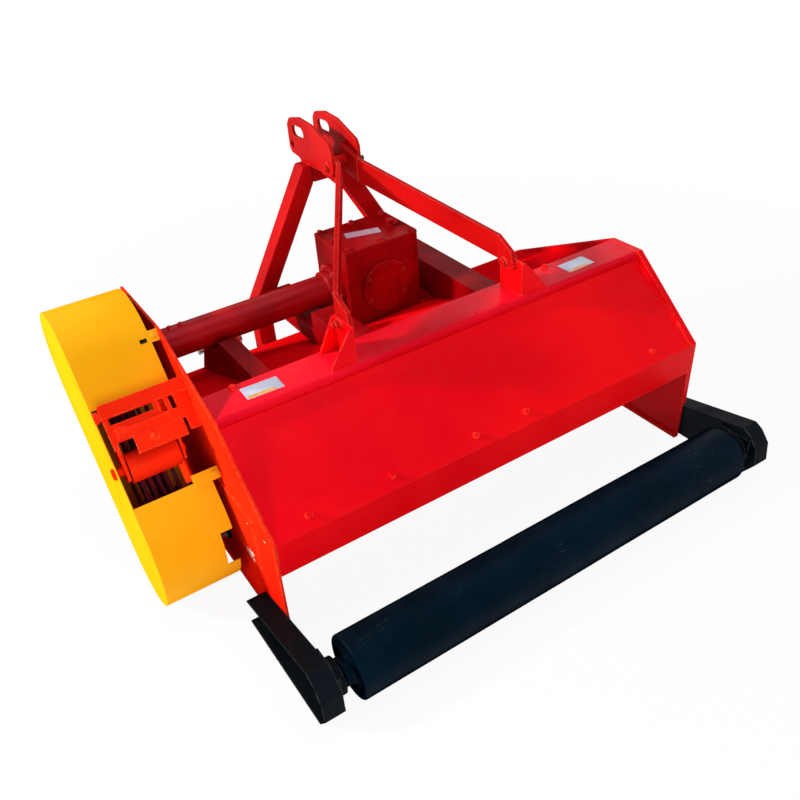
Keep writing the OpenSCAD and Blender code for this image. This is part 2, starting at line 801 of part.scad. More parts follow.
at_origin() rear_hood();
at_origin() top_strip();
at_origin() front_hood();
at_origin() left_side_plate();
at_origin() right_side_plate();
at_origin() skid_bars();
at_origin() front_beam();
at_origin() gearbox_rails();
at_origin() gearbox_base();
at_origin() tube_stand();
at_origin() gearbox_housing();
at_origin() gearbox_covers();
at_origin() shaft_tube();
at_origin() mast_legs();
at_origin() mast_head();
at_origin() clevis_plates();
at_origin() stay_bars();
at_origin() stay_brackets();
at_origin() hitch_brackets();
at_origin() hitch_pins();
at_origin() belt_guard();
at_origin() guard_tabs();
at_origin() drive_belts();
at_origin() tensioner_frame();
at_origin() tensioner_arm();
at_origin() idler_pin();
at_origin() left_roller_arm();
at_origin() right_roller_arm();
at_origin() roller_bearings();
at_origin() rotor_bearings();
at_origin() drive_bearing();
at_origin() rotor_tube();
at_origin() rotor_lugs();
at_origin() rotor_flails();
at_origin() rotor_shafts();
at_origin() driven_pulley();
at_origin() drive_pulley();
at_origin() drive_shaft();
at_origin() pto_shaft();
at_origin() roller_drum();
at_origin() roller_stubs();
at_origin() idler_roller();
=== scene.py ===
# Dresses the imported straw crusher: worn paint, softened edges, bolts, weld beads, belts and blank labels.
import json
import math

import bmesh
import bpy
import numpy as np
from mathutils import Matrix, Vector


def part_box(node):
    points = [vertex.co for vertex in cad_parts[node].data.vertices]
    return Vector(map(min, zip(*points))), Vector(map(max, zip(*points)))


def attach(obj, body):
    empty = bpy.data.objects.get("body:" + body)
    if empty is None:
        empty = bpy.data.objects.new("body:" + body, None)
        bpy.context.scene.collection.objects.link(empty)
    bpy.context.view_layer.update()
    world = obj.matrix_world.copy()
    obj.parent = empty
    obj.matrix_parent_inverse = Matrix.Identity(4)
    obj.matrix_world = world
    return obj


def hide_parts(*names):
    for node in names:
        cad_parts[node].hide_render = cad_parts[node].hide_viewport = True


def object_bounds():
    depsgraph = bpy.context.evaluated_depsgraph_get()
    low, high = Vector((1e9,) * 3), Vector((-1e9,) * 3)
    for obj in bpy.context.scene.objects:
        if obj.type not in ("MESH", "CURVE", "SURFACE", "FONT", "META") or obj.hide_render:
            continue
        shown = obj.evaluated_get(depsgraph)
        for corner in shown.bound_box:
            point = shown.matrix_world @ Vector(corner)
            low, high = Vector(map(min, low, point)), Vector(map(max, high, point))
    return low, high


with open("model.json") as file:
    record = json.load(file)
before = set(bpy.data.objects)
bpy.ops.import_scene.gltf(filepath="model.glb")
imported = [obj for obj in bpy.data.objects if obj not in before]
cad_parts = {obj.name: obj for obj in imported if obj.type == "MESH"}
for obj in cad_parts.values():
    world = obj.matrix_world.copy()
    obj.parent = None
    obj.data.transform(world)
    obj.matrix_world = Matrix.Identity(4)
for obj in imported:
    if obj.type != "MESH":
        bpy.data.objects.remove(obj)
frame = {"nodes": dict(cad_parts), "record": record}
cadNodes = frame["nodes"]
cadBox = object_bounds()
bodyOf = {node: body for body, nodes in frame["record"]["behaviour"]["bodies"].items() for node in nodes}
print("frame loaded:", len(cadNodes), "nodes")

# The machine's own axes: sideways from the centre plane, forward from the rear corner of the hood
mm = 0.001
sides = (-1, 1)  # left, right
leftward, rightward, rearward, frontward, upward = (-1, 0, 0), (1, 0, 0), (0, -1, 0), (0, 1, 0), (0, 0, 1)
hoodLow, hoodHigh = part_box("rear_hood")
centreX = (float(hoodLow[0]) + float(hoodHigh[0])) / 2
rearY = float(hoodLow[1])
axesStart = np.array([centreX, rearY, 0])


def spot(x, y, z):  # a place given in millimetres on the machine's own axes
    return axesStart + np.array([x, y, z]) * mm


def cornersOf(node):  # lowest and highest corner of a CAD node, in millimetres on the same axes
    return [(np.array(corner) - axesStart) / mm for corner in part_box(node)]


def middleOf(node):
    lowest, highest = cornersOf(node)
    return (lowest + highest) / 2


cameraSet = {
    "place": (-1.1431, -1.8845, 1.8605),
    "yaw": 30.759,  # degrees from +Y towards +X
    "pitch": 35.065,  # degrees below the horizon
    "roll": 4.569,
    "lens": 37.92,
    "sensor": 36.0,
}


def makeCamera(s):
    yaw, pitch, roll = (math.radians(s[key]) for key in ("yaw", "pitch", "roll"))
    forward = Vector((math.sin(yaw) * math.cos(pitch), math.cos(yaw) * math.cos(pitch), -math.sin(pitch)))
    right = Vector((math.cos(yaw), -math.sin(yaw), 0))
    down = forward.cross(right)
    side = math.cos(roll) * right + math.sin(roll) * down
    fall = -math.sin(roll) * right + math.cos(roll) * down
    data = bpy.data.cameras.new("camera")
    data.lens = s["lens"]
    data.sensor_width = s["sensor"]
    camera = bpy.data.objects.new("camera", data)
    turn = Matrix((side, -fall, -forward)).transposed()
    camera.matrix_world = Matrix.Translation(s["place"]) @ turn.to_4x4()
    bpy.context.scene.collection.objects.link(camera)
    bpy.context.scene.camera = camera


lampSet = {
    "aim": (0.0, 0.0, 0.3),
    "lamps": [
        # name, place, size, power, colour
        ("sunLamp", (-7.40, 2.90, 4.60), 0.70, 900.0, (1.0, 0.96, 0.90)),
        ("skyLamp", (0.4, -0.6, 4.5), 2.6, 52.0, (0.94, 0.88, 1.0)),
        ("rearLamp", (-1.2, -4.3, 2.0), 2.4, 92.0, (1.0, 0.95, 0.94)),
        ("farLamp", (3.4, 2.8, 1.8), 2.4, 18.0, (0.95, 0.97, 1.0)),
    ],
}


def makeLamps(s):
    for name, where, size, power, colour in s["lamps"]:
        data = bpy.data.lights.new(name, "AREA")
        data.size = size
        data.energy = power
        data.color = colour
        lamp = bpy.data.objects.new(name, data)
        lamp.location = where
        lamp.rotation_euler = (Vector(s["aim"]) - Vector(where)).to_track_quat("-Z", "Y").to_euler()
        bpy.context.scene.collection.objects.link(lamp)


def addNode(tree, kind, inputs=None, **settings):
    node = tree.nodes.new(kind)
    for key, value in settings.items():
        setattr(node, key, value)
    for key, value in (inputs or {}).items():
        if isinstance(value, bpy.types.NodeSocket):
            tree.links.new(value, node.inputs[key])
        else:
            node.inputs[key].default_value = value
    return node


def maths(tree, operation, a, b=0.0, clamp=False):
    return addNode(tree, "ShaderNodeMath", {0: a, 1: b}, operation=operation, use_clamp=clamp).outputs[0]


def times(tree, a, b):
    return maths(tree, "MULTIPLY", a, b)


def vectorMaths(tree, operation, inputs):
    return addNode(tree, "ShaderNodeVectorMath", inputs, operation=operation).outputs


# smooth step from 0 at start to 1 at end
def ramp(tree, value, start, end):
    return addNode(tree, "ShaderNodeMapRange", {"Value": value, "From Min": start, "From Max": end},
                   interpolation_type="SMOOTHSTEP", clamp=True).outputs[0]


# a * (1 - mask) + b * mask
def blendColours(tree, mask, a, b):
    return addNode(tree, "ShaderNodeMix", {0: mask, 6: a, 7: b}, data_type="RGBA").outputs[2]


def objectPoint(tree):
    return addNode(tree, "ShaderNodeTexCoord").outputs["Object"]


def noiseFrom(tree, where, scale, detail, rough=0.5):
    inputs = {"Vector": where, "Scale": scale, "Detail": detail, "Roughness": rough}
    return addNode(tree, "ShaderNodeTexNoise", inputs).outputs["Fac"]


# noise of the object's own coordinates, moved by shift so that two noises differ
def noiseAt(tree, scale, detail=3.0, rough=0.55, shift=0.0):
    inputs = {"Vector": objectPoint(tree), "Location": (shift, shift, shift)}
    return noiseFrom(tree, addNode(tree, "ShaderNodeMapping", inputs).outputs[0], scale, detail, rough)


# 1 for the rays that meet the white itself: from the camera, off a glossy face or through glass
def seenDirectly(tree):
    path = addNode(tree, "ShaderNodeLightPath")
    seen = maths(tree, "MAXIMUM", path.outputs["Is Camera Ray"], path.outputs["Is Glossy Ray"])
    return maths(tree, "MAXIMUM", seen, path.outputs["Is Transmission Ray"])


worldSet = {"light": (0.93, 0.94, 1.0, 1), "lightLevel": 0.26}


def makeWorld(s):
    world = bpy.data.worlds.new("studio")
    bpy.context.scene.world = world
    world.use_nodes = True
    tree = world.node_tree
    tree.nodes.clear()
    soft = addNode(tree, "ShaderNodeBackground", {"Color": s["light"], "Strength": s["lightLevel"]})
    white = addNode(tree, "ShaderNodeBackground", {"Color": (1, 1, 1, 1), "Strength": 1.0})
    shaders = {0: seenDirectly(tree), 1: soft.outputs[0], 2: white.outputs[0]}
    mix = addNode(tree, "ShaderNodeMixShader", shaders)
    addNode(tree, "ShaderNodeOutputWorld", {"Surface": mix.outputs[0]})


def makeGroup(name, takes, gives):
    group = bpy.data.node_groups.new(name, "ShaderNodeTree")
    for label, value in takes.items():
        kind = "NodeSocketVector" if isinstance(value, tuple) else "NodeSocketFloat"
        group.interface.new_socket(name=label, in_out="INPUT", socket_type=kind).default_value = value
    group.interface.new_socket(name=gives, in_out="OUTPUT", socket_type="NodeSocketFloat")
    return group, group.nodes.new("NodeGroupInput").outputs, group.nodes.new("NodeGroupOutput").inputs


wearSet = {"samples": 4, "turn": (0.01, 0.16), "share": 0.35, "broken": (0.62, 0.74)}


# mask = how far the rounded normal turns from the true one, broken up by noise
def makeEdgeWear(s):
    group, take, give = makeGroup("edgeWear", {"Radius": 0.004, "Breakup": 45.0, "Amount": 0.5}, "Mask")
    rounded = addNode(group, "ShaderNodeBevel", {"Radius": take["Radius"]}, samples=s["samples"]).outputs[0]
    true = addNode(group, "ShaderNodeNewGeometry").outputs["Normal"]
    same = vectorMaths(group, "DOT_PRODUCT", {0: rounded, 1: true})["Value"]
    turned = ramp(group, maths(group, "SUBTRACT", 1.0, same), *s["turn"])
    patch = noiseFrom(group, objectPoint(group), take["Breakup"], 4.0, 0.7)
    broken = ramp(group, maths(group, "ADD", patch, times(group, take["Amount"], s["share"])), *s["broken"])
    group.links.new(times(group, turned, broken), give["Mask"])
    return group


grainSet = {"fineShare": 0.12}


# height = fine even noise plus a long soft wave, as sprayed paint on sheet steel
def makeSprayGrain(s):
    group, take, give = makeGroup("sprayGrain", {"Scale": 260.0, "Wave": 9.0, "Wave Depth": 0.6}, "Height")
    where = objectPoint(group)
    fine = noiseFrom(group, where, take["Scale"], 2.0)
    wave = noiseFrom(group, where, take["Wave"], 1.0)
    height = maths(group, "ADD", times(group, fine, s["fineShare"]), times(group, wave, take["Wave Depth"]))
    group.links.new(height, give["Height"])
    return group


dustSet = {"upward": (0.35, 1.0), "patches": (0.40, 0.72)}


# mask = upward faces times patchy noise, so dust lies on top and not on walls
def makeDustFilm(s):
    group, take, give = makeGroup("dustFilm", {"Amount": 0.3, "Scale": 14.0}, "Mask")
    face = addNode(group, "ShaderNodeNewGeometry").outputs["Normal"]
    up = ramp(group, addNode(group, "ShaderNodeSeparateXYZ", {0: face}).outputs["Z"], *s["upward"])
    patch = noiseFrom(group, objectPoint(group), take["Scale"], 5.0, 0.65)
    film = times(group, up, ramp(group, patch, *s["patches"]))
    group.links.new(times(group, film, take["Amount"]), give["Mask"])
    return group


scratchSet = {"patchScale": 7.0, "patches": (0.56, 0.66)}


# mask = the thin crests of noise that is drawn out along one axis, kept only in patches
def makeScratchLines(s):
    takes = {"Stretch": (1.0, 12.0, 12.0), "Scale": 30.0, "Width": 0.006}
    group, take, give = makeGroup("scratchLines", takes, "Mask")
    where = objectPoint(group)
    drawn = vectorMaths(group, "MULTIPLY", {0: where, 1: take["Stretch"]})[0]
    line = noiseFrom(group, drawn, take["Scale"], 1.0)
    gap = maths(group, "ABSOLUTE", maths(group, "SUBTRACT", line, 0.5))
    thin = maths(group, "LESS_THAN", gap, take["Width"])
    patch = noiseFrom(group, where, s["patchScale"], 3.0)
    group.links.new(times(group, thin, ramp(group, patch, *s["patches"])), give["Mask"])
    return group


groups = {"edgeWear": makeEdgeWear(wearSet), "sprayGrain": makeSprayGrain(grainSet),
          "dustFilm": makeDustFilm(dustSet), "scratchLines": makeScratchLines(scratchSet)}
print("shader groups made:", len(groups))


def useGroup(tree, name, inputs):
    node = tree.nodes.new("ShaderNodeGroup")
    node.node_tree = groups[name]
    for key, value in inputs.items():
        node.inputs[key].default_value = value
    return node.outputs[0]


def newMaterial(name):
    material = bpy.data.materials.new(name)
    material.use_nodes = True
    tree = material.node_tree
    tree.nodes.clear()
    shader = addNode(tree, "ShaderNodeBsdfPrincipled")
    addNode(tree, "ShaderNodeOutputMaterial", {"Surface": shader.outputs["BSDF"]})
    return material, tree, shader


def linkBump(tree, shader, height, strength, distance):
    bump = addNode(tree, "ShaderNodeBump", {"Height": height, "Strength": strength, "Distance": distance})
    tree.links.new(bump.outputs[0], shader.inputs["Normal"])


paintSet = {
    # colour and shade are the ends of the mottle, chip shows at worn edges, tint colours the gloss
    "redSheet": {"colour": (0.86, 0.003, 0.005, 1), "shade": (0.72, 0.001, 0.005, 1), "mottle": 1.6,
                 "chip": (0.95, 0.10, 0.05, 1), "tint": (1.0, 0.14, 0.34, 1),
                 "rough": 0.28, "shine": 0.16, "wear": 0.55, "dust": 0.006},
    # the sheet's red with a magenta cast painted in: a painted sky sheen on this up-facing strip
    "redStripPaintedSheen": {"colour": (0.86, 0.005, 0.020, 1), "shade": (0.68, 0.002, 0.012, 1), "mottle": 2.2,
                 "chip": (0.95, 0.16, 0.10, 1), "tint": (1.0, 0.18, 0.42, 1),
                 "rough": 0.26, "shine": 0.16, "wear": 0.60, "dust": 0.008},
    # a lit copy of the red paint, brighter and oranger: painted sunlight on the parts of the left side
    "redPaintedSunlit": {"colour": (0.95, 0.028, 0.004, 1), "shade": (0.78, 0.010, 0.003, 1), "mottle": 2.2,
                 "chip": (0.95, 0.20, 0.06, 1), "tint": (1.0, 0.24, 0.10, 1),
                 "rough": 0.34, "shine": 0.16, "wear": 0.55, "dust": 0.008},
    "redBar": {"colour": (0.56, 0.005, 0.005, 1), "shade": (0.38, 0.002, 0.003, 1), "mottle": 3.5,
               "chip": (0.90, 0.11, 0.07, 1), "tint": (1.0, 0.16, 0.18, 1),
               "rough": 0.30, "shine": 0.12, "wear": 0.75, "dust": 0.01},
    # a dark copy of the red paint: painted shade on the rails, base and stand
    "redPaintedShade": {"colour": (0.34, 0.001, 0.003, 1), "shade": (0.17, 0.001, 0.002, 1), "mottle": 3.5,
                "chip": (0.70, 0.05, 0.04, 1), "tint": (1.0, 0.16, 0.26, 1),
                "rough": 0.32, "shine": 0.08, "wear": 0.65, "dust": 0.01},
    "redTube": {"colour": (0.40, 0.002, 0.003, 1), "shade": (0.22, 0.001, 0.002, 1), "mottle": 4.0,
                "chip": (0.85, 0.20, 0.16, 1), "tint": (1.0, 0.30, 0.40, 1),
                "rough": 0.26, "shine": 0.26, "wear": 0.45, "dust": 0.012},
    # a dark copy of the red paint: painted shade that makes the gearbox's rear face read dark
    "redCastingPaintedShade": {"colour": (0.32, 0.001, 0.002, 1), "shade": (0.17, 0.001, 0.001, 1), "mottle": 6.0,
                   "chip": (0.70, 0.04, 0.03, 1), "tint": (1.0, 0.22, 0.36, 1),
                   "rough": 0.32, "shine": 0.12, "wear": 0.50, "dust": 0.012, "grain": 120.0, "deep": 0.002},
    "yellowGuard": {"colour": (0.92, 0.455, 0.008, 1), "shade": (0.90, 0.395, 0.003, 1), "mottle": 2.4,
                    "chip": (0.55, 0.30, 0.10, 1), "tint": (1.0, 0.66, 0.12, 1),
                    "rough": 0.40, "shine": 0.12, "wear": 0.45, "dust": 0.006},
    # black paint with a blue cast painted in: a painted sky sheen on the drum
    "blackDrumPaintedSheen": {"colour": (0.0010, 0.0052, 0.0110, 1), "shade": (0.0006, 0.0028, 0.0050, 1), "mottle": 4.0,
                  "chip": (0.08, 0.08, 0.07, 1), "tint": (0.05, 0.45, 0.95, 1),
                  "scratch": (0.20, 0.19, 0.15, 1),
                  "rough": 0.46, "shine": 0.07, "wear": 0.35, "dust": 0.002},
    "blackArm": {"colour": (0.0030, 0.0044, 0.0060, 1), "shade": (0.0016, 0.0026, 0.0034, 1), "mottle": 5.0,
                 "chip": (0.10, 0.11, 0.12, 1), "tint": (0.25, 0.45, 0.65, 1),
                 "rough": 0.42, "shine": 0.08, "wear": 0.60, "dust": 0.004},
}
coatSet = {  # what every paint has in common
    "mottled": (0.32, 0.66), "fleckFiner": 22, "flecked": (0.66, 0.80), "fleckShare": 0.25,
    "lines": {"Stretch": (1.0, 14.0, 14.0), "Scale": 14.0, "Width": 0.0016}, "lineShare": 0.5,
    "edge": 0.004, "breakup": 55.0, "wornShare": 0.8, "dustScale": 16.0, "dustColour": (0.55, 0.42, 0.36, 1),
    "cloudScale": 11.0, "clouded": (0.3, 0.7), "cloudRough": 0.14, "dullRough": 0.35,
    "glancing": (0.22, 0.74), "wornDip": 0.15,
    "grain": 260.0, "wave": 9.0, "waveDepth": 0.8, "relief": 0.35, "deep": 0.001,
}


# colour = mottle between shade and colour, then chips at worn edges, then a pale dust film on upward faces;
# shine = the set level times one minus a smooth step of the glancing angle, as on a satin coat
def makePaint(name, s, c):
    material, tree, shader = newMaterial(name)
    mottle = ramp(tree, noiseAt(tree, s["mottle"]), *c["mottled"])
    base = blendColours(tree, mottle, s["shade"], s["colour"])
    fleck = noiseAt(tree, s["mottle"] * c["fleckFiner"], detail=4.0, rough=0.7, shift=3.0)
    fleck = times(tree, ramp(tree, fleck, *c["flecked"]), c["fleckShare"])
    base = blendColours(tree, fleck, base, s["shade"])
    if "scratch" in s:
        lines = useGroup(tree, "scratchLines", c["lines"])
        base = blendColours(tree, times(tree, lines, c["lineShare"]), base, s["scratch"])
    worn = useGroup(tree, "edgeWear", {"Radius": c["edge"], "Breakup": c["breakup"], "Amount": s["wear"]})
    base = blendColours(tree, times(tree, worn, c["wornShare"]), base, s["chip"])
    dust = useGroup(tree, "dustFilm", {"Amount": s["dust"], "Scale": c["dustScale"]})
    base = blendColours(tree, dust, base, c["dustColour"])
    tree.links.new(base, shader.inputs["Base Color"])
    cloud = ramp(tree, noiseAt(tree, c["cloudScale"], detail=4.0, rough=0.6, shift=7.0), *c["clouded"])
    rough = maths(tree, "ADD", times(tree, cloud, c["cloudRough"]), s["rough"])
    dull = times(tree, maths(tree, "ADD", dust, worn), c["dullRough"])
    tree.links.new(maths(tree, "ADD", rough, dull, clamp=True), shader.inputs["Roughness"])
    glancing = addNode(tree, "ShaderNodeLayerWeight", {"Blend": 0.5}).outputs["Facing"]
    kept = maths(tree, "SUBTRACT", 1.0, ramp(tree, glancing, *c["glancing"]))
    tree.links.new(times(tree, kept, s["shine"]), shader.inputs["Specular IOR Level"])
    shader.inputs["Specular IOR Level"].default_value = s["shine"]
    shader.inputs["Specular Tint"].default_value = s["tint"]
    grain = {"Scale": s.get("grain", c["grain"]), "Wave": c["wave"], "Wave Depth": c["waveDepth"]}
    height = maths(tree, "SUBTRACT", useGroup(tree, "sprayGrain", grain), times(tree, worn, c["wornDip"]))
    linkBump(tree, shader, height, c["relief"], s.get("deep", c["deep"]))
    return material


metalSet = {
    # over is the rust or overspray that lies in patches, cover how much of it there is
    "castIron": {"colour": (0.10, 0.10, 0.10, 1), "shade": (0.045, 0.04, 0.04, 1),
                 "over": (0.30, 0.010, 0.006, 1), "metal": 0.6, "rough": 0.55, "grain": 160.0, "cover": 0.50},
    "bareSteel": {"colour": (0.42, 0.42, 0.43, 1), "shade": (0.22, 0.20, 0.18, 1),
                  "over": (0.20, 0.09, 0.04, 1), "metal": 1.0, "rough": 0.30, "grain": 320.0, "cover": 0.18},
    "flailSteel": {"colour": (0.16, 0.15, 0.15, 1), "shade": (0.06, 0.055, 0.05, 1),
                   "over": (0.16, 0.06, 0.03, 1), "metal": 0.8, "rough": 0.45, "grain": 200.0, "cover": 0.35},
    "darkBolt": {"colour": (0.05, 0.045, 0.045, 1), "shade": (0.02, 0.015, 0.015, 1),
                 "over": (0.20, 0.010, 0.008, 1), "metal": 0.7, "rough": 0.42, "grain": 240.0, "cover": 0.30},
}
steelSet = {  # what every metal has in common
    "mottle": 18.0, "mottled": (0.3, 0.7), "patchScale": 26.0, "coverShare": 0.4, "patched": (0.58, 0.72),
    "wear": {"Radius": 0.003, "Breakup": 70.0, "Amount": 0.7}, "wornShare": 0.5,
    "bright": (0.55, 0.54, 0.52, 1), "patchRough": 0.3,
    "wave": 30.0, "waveDepth": 0.3, "relief": 0.4, "deep": 0.001,
}


# colour = two greys of metal mottled, with overspray or rust in noise patches
def makeMetal(name, s, c):
    material, tree, shader = newMaterial(name)
    mottle = ramp(tree, noiseAt(tree, c["mottle"], detail=4.0), *c["mottled"])
    base = blendColours(tree, mottle, s["shade"], s["colour"])
    patch = noiseAt(tree, c["patchScale"], detail=5.0, rough=0.7, shift=5.0)
    patch = ramp(tree, maths(tree, "ADD", patch, s["cover"] * c["coverShare"]), *c["patched"])
    base = blendColours(tree, patch, base, s["over"])
    worn = useGroup(tree, "edgeWear", c["wear"])
    base = blendColours(tree, times(tree, worn, c["wornShare"]), base, c["bright"])
    tree.links.new(base, shader.inputs["Base Color"])
    bare = maths(tree, "SUBTRACT", 1.0, patch)
    tree.links.new(times(tree, bare, s["metal"]), shader.inputs["Metallic"])
    rough = maths(tree, "ADD", times(tree, patch, c["patchRough"]), s["rough"], clamp=True)
    tree.links.new(rough, shader.inputs["Roughness"])
    grain = {"Scale": s["grain"], "Wave": c["wave"], "Wave Depth": c["waveDepth"]}
    linkBump(tree, shader, useGroup(tree, "sprayGrain", grain), c["relief"], c["deep"])
    return material


rubberSet = {
    "colour": (0.050, 0.003, 0.010, 1), "spray": (0.15, 0.004, 0.024, 1), "sprayShare": 0.85,
    "patchScale": 34.0, "patched": (0.42, 0.62), "rough": 0.55, "patchRough": 0.2, "shine": 0.08,
    "dust": {"Amount": 0.08, "Scale": 30.0}, "dusty": (0.09, 0.03, 0.03, 1),
    "wear": {"Radius": 0.002, "Breakup": 120.0, "Amount": 0.8}, "wornShare": 0.5,
    "grain": {"Scale": 700.0, "Wave": 120.0, "Wave Depth": 0.4}, "relief": 0.5, "deep": 0.0006,
}


# colour = dark rubber with red overspray on its back, rougher where the overspray lies
def makeRubber(name, s):
    material, tree, shader = newMaterial(name)
    patch = ramp(tree, noiseAt(tree, s["patchScale"], detail=4.0, rough=0.7), *s["patched"])
    base = blendColours(tree, times(tree, patch, s["sprayShare"]), s["colour"], s["spray"])
    worn = times(tree, useGroup(tree, "edgeWear", s["wear"]), s["wornShare"])
    pale = maths(tree, "MAXIMUM", useGroup(tree, "dustFilm", s["dust"]), worn)
    tree.links.new(blendColours(tree, pale, base, s["dusty"]), shader.inputs["Base Color"])
    rough = maths(tree, "ADD", times(tree, patch, s["patchRough"]), s["rough"])
    tree.links.new(rough, shader.inputs["Roughness"])
    shader.inputs["Specular IOR Level"].default_value = s["shine"]
    linkBump(tree, shader, useGroup(tree, "sprayGrain", s["grain"]), s["relief"], s["deep"])
    return material


filmSet = {
    # colour and soil of each thin film
    # a white sticker coloured pale blue-grey: painted shade and sky sheen
    "labelVinylPaintedSheen": ((0.62, 0.66, 0.78, 1), (0.36, 0.42, 0.56, 1)),
    "bandVinyl": ((0.80, 0.42, 0.03, 1), (0.35, 0.14, 0.03, 1)),
    "chipPrimer": ((0.80, 0.70, 0.66, 1), (0.55, 0.34, 0.28, 1)),
    "plateFoil": ((0.36, 0.22, 0.30, 1), (0.16, 0.05, 0.08, 1)),
}
vinylSet = {  # what every film has in common
    "cloudScale": 40.0, "clouded": (0.35, 0.7), "soilShare": 0.35, "rough": 0.30, "cloudRough": 0.15,
    "wear": {"Radius": 0.003, "Breakup": 160.0, "Amount": 0.9}, "wornShare": 0.6,
    "grain": {"Scale": 400.0, "Wave": 40.0, "Wave Depth": 0.5}, "relief": 0.2, "deep": 0.0006,
}


# colour = the film's own, faintly clouded, soiled towards its edges by noise
def makeVinyl(name, colour, soil, c):
    material, tree, shader = newMaterial(name)
    cloud = ramp(tree, noiseAt(tree, c["cloudScale"], detail=3.0), *c["clouded"])
    base = blendColours(tree, times(tree, cloud, c["soilShare"]), colour, soil)
    worn = times(tree, useGroup(tree, "edgeWear", c["wear"]), c["wornShare"])
    tree.links.new(blendColours(tree, worn, base, soil), shader.inputs["Base Color"])
    rough = maths(tree, "ADD", times(tree, cloud, c["cloudRough"]), c["rough"])
    tree.links.new(rough, shader.inputs["Roughness"])
    linkBump(tree, shader, useGroup(tree, "sprayGrain", c["grain"]), c["relief"], c["deep"])
    return material


paints = {name: makePaint(name, s, coatSet) for name, s in paintSet.items()}
metals = {name: makeMetal(name, s, steelSet) for name, s in metalSet.items()}
films = {name: makeVinyl(name, colour, soil, vinylSet) for name, (colour, soil) in filmSet.items()}
finishes = {**paints, **metals, **films, "beltRubber": makeRubber("beltRubber", rubberSet)}
print("finishes made:", len(finishes))


def unit(v):
    return np.asarray(v, float) / np.linalg.norm(v)


# carries local X, Y, Z to two square directions and the axis
def turned(verts, where, axis):
    axis = unit(axis)
    helper = np.array([0, 0, 1.0]) if abs(axis[2]) < 0.9 else np.array([1.0, 0, 0])
    across = unit(np.cross(helper, axis))
    return verts @ np.stack([across, np.cross(axis, across), axis]) + np.asarray(where)


def placed(part, where, axis=upward):  # a part made about the origin, stood on a place along an axis
    points, blocks = part
    return turned(points, where, axis), blocks


def laidFlat(part, where, degrees):  # a flat part turned in its own plane
    points, blocks = part
    return points @ np.array(Matrix.Rotation(math.radians(degrees), 3, "Z")).T + where, blocks


# quads between rings of equal size
def ringFaces(rings, around, loop=False):
    row = np.arange(rings if loop else rings - 1)[:, None] * around
    total = rings * around
    step = np.arange(around)
    ahead = (step + 1) % around
    quads = [row + step, row + ahead, (row + around + ahead) % total, (row + around + step) % total]
    return np.stack(quads, axis=-1).reshape(-1, 4)


# rings of points, closed at both ends
def closedRings(rings):
    rings = np.asarray(rings, float)
    count, around = rings.shape[:2]
    caps = [np.arange(around)[::-1][None], (np.arange(around) + (count - 1) * around)[None]]
    return rings.reshape(-1, 3), [ringFaces(count, around)] + caps


def circle(around, closed=False):  # angles all round, with the first one again at the end where closed
    return np.linspace(0, 2 * np.pi, around, endpoint=closed)


# rings of one radius and one height each, where a radius may be an array around the ring
def ringsAt(rows, around):
    c, s = np.cos(circle(around)), np.sin(circle(around))
    return np.array([np.stack([r * c, r * s, np.full(around, float(h))], -1) for r, h in rows])


# a turned part: rows of (radius, height) in millimetres
def lathe(rows, around):
    return closedRings(ringsAt(rows, around) * mm)


cornerSteps = 6
leastCorner = 0.4


# a rectangle whose corners are quarter circles
def roundedOutline(halfX, halfY, corner):
    swing = np.linspace(0, np.pi / 2, cornerSteps)
    quarter = corner * np.stack([np.cos(swing), np.sin(swing)], -1)
    parts = []
    for k, (sx, sy) in enumerate(((1, 1), (-1, 1), (-1, -1), (1, -1))):
        c, s = math.cos(k * math.pi / 2), math.sin(k * math.pi / 2)
        middle = np.array([sx * (halfX - corner), sy * (halfY - corner)])
        parts.append(quarter @ np.array([[c, s], [-s, c]]) + middle)
    return np.concatenate(parts)


# a pile of rounded rectangles: rows of (inset, height) in millimetres
def pile(halfX, halfY, corner, rows):
    rings = []
    for inset, height in rows:
        outline = roundedOutline(halfX - inset, halfY - inset, max(corner - inset, leastCorner))
        rings.append(np.column_stack([outline, np.full(len(outline), height)]))
    return closedRings(np.array(rings) * mm)


# one object from several parts, each a pair of points and lists of face rows
def addPiece(name, parts, finish, body, sharp=32):
    verts, rows, first = [], [], 0
    for points, blocks in parts:
        verts.append(np.asarray(points, float))
        rows += [row for block in blocks for row in (block + first).tolist()]
        first += len(points)
    mesh = bpy.data.meshes.new(name)
    mesh.from_pydata(np.concatenate(verts), [], rows)
    mesh.validate()
    return finishPiece(name, mesh, finish, body, sharp)


def finishPiece(name, mesh, finish, body, sharp=32):
    obj = bpy.data.objects.new(name, mesh)
    bpy.context.scene.collection.objects.link(obj)
    mesh.materials.clear()
    mesh.materials.append(finishes[finish])
    mesh.polygons.foreach_set("use_smooth", [True] * len(mesh.polygons))
    mesh.set_sharp_from_angle(angle=math.radians(sharp))
    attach(obj, body)
    return obj


nodesOf = {
    # finish: the CAD nodes that wear it
    "redSheet": ("rear_hood", "front_hood", "right_side_plate", "stay_brackets"),
    "redStripPaintedSheen": ("top_strip",),
    "redPaintedSunlit": ("left_side_plate", "skid_bars", "tensioner_frame", "tensioner_arm", "idler_pin",
                 "idler_roller"),
    "redBar": ("front_beam", "mast_legs", "mast_head", "clevis_plates", "stay_bars", "hitch_brackets",
               "rotor_tube", "rotor_lugs"),
    "redPaintedShade": ("gearbox_rails", "gearbox_base", "tube_stand"),
    "redCastingPaintedShade": ("gearbox_housing", "gearbox_covers"),
    "redTube": ("shaft_tube",),
    "yellowGuard": ("belt_guard", "guard_tabs"),
    "beltRubber": ("drive_belts",),
    "blackArm": ("left_roller_arm", "right_roller_arm", "roller_bearings", "rotor_bearings", "drive_bearing"),
    "blackDrumPaintedSheen": ("roller_drum",),
    "flailSteel": ("rotor_flails",),
    "castIron": ("driven_pulley", "drive_pulley"),
    "bareSteel": ("hitch_pins", "rotor_shafts", "drive_shaft", "pto_shaft", "roller_stubs"),
}
finishOf = {nodeName: finish for finish, nodeNames in nodesOf.items() for nodeName in nodeNames}

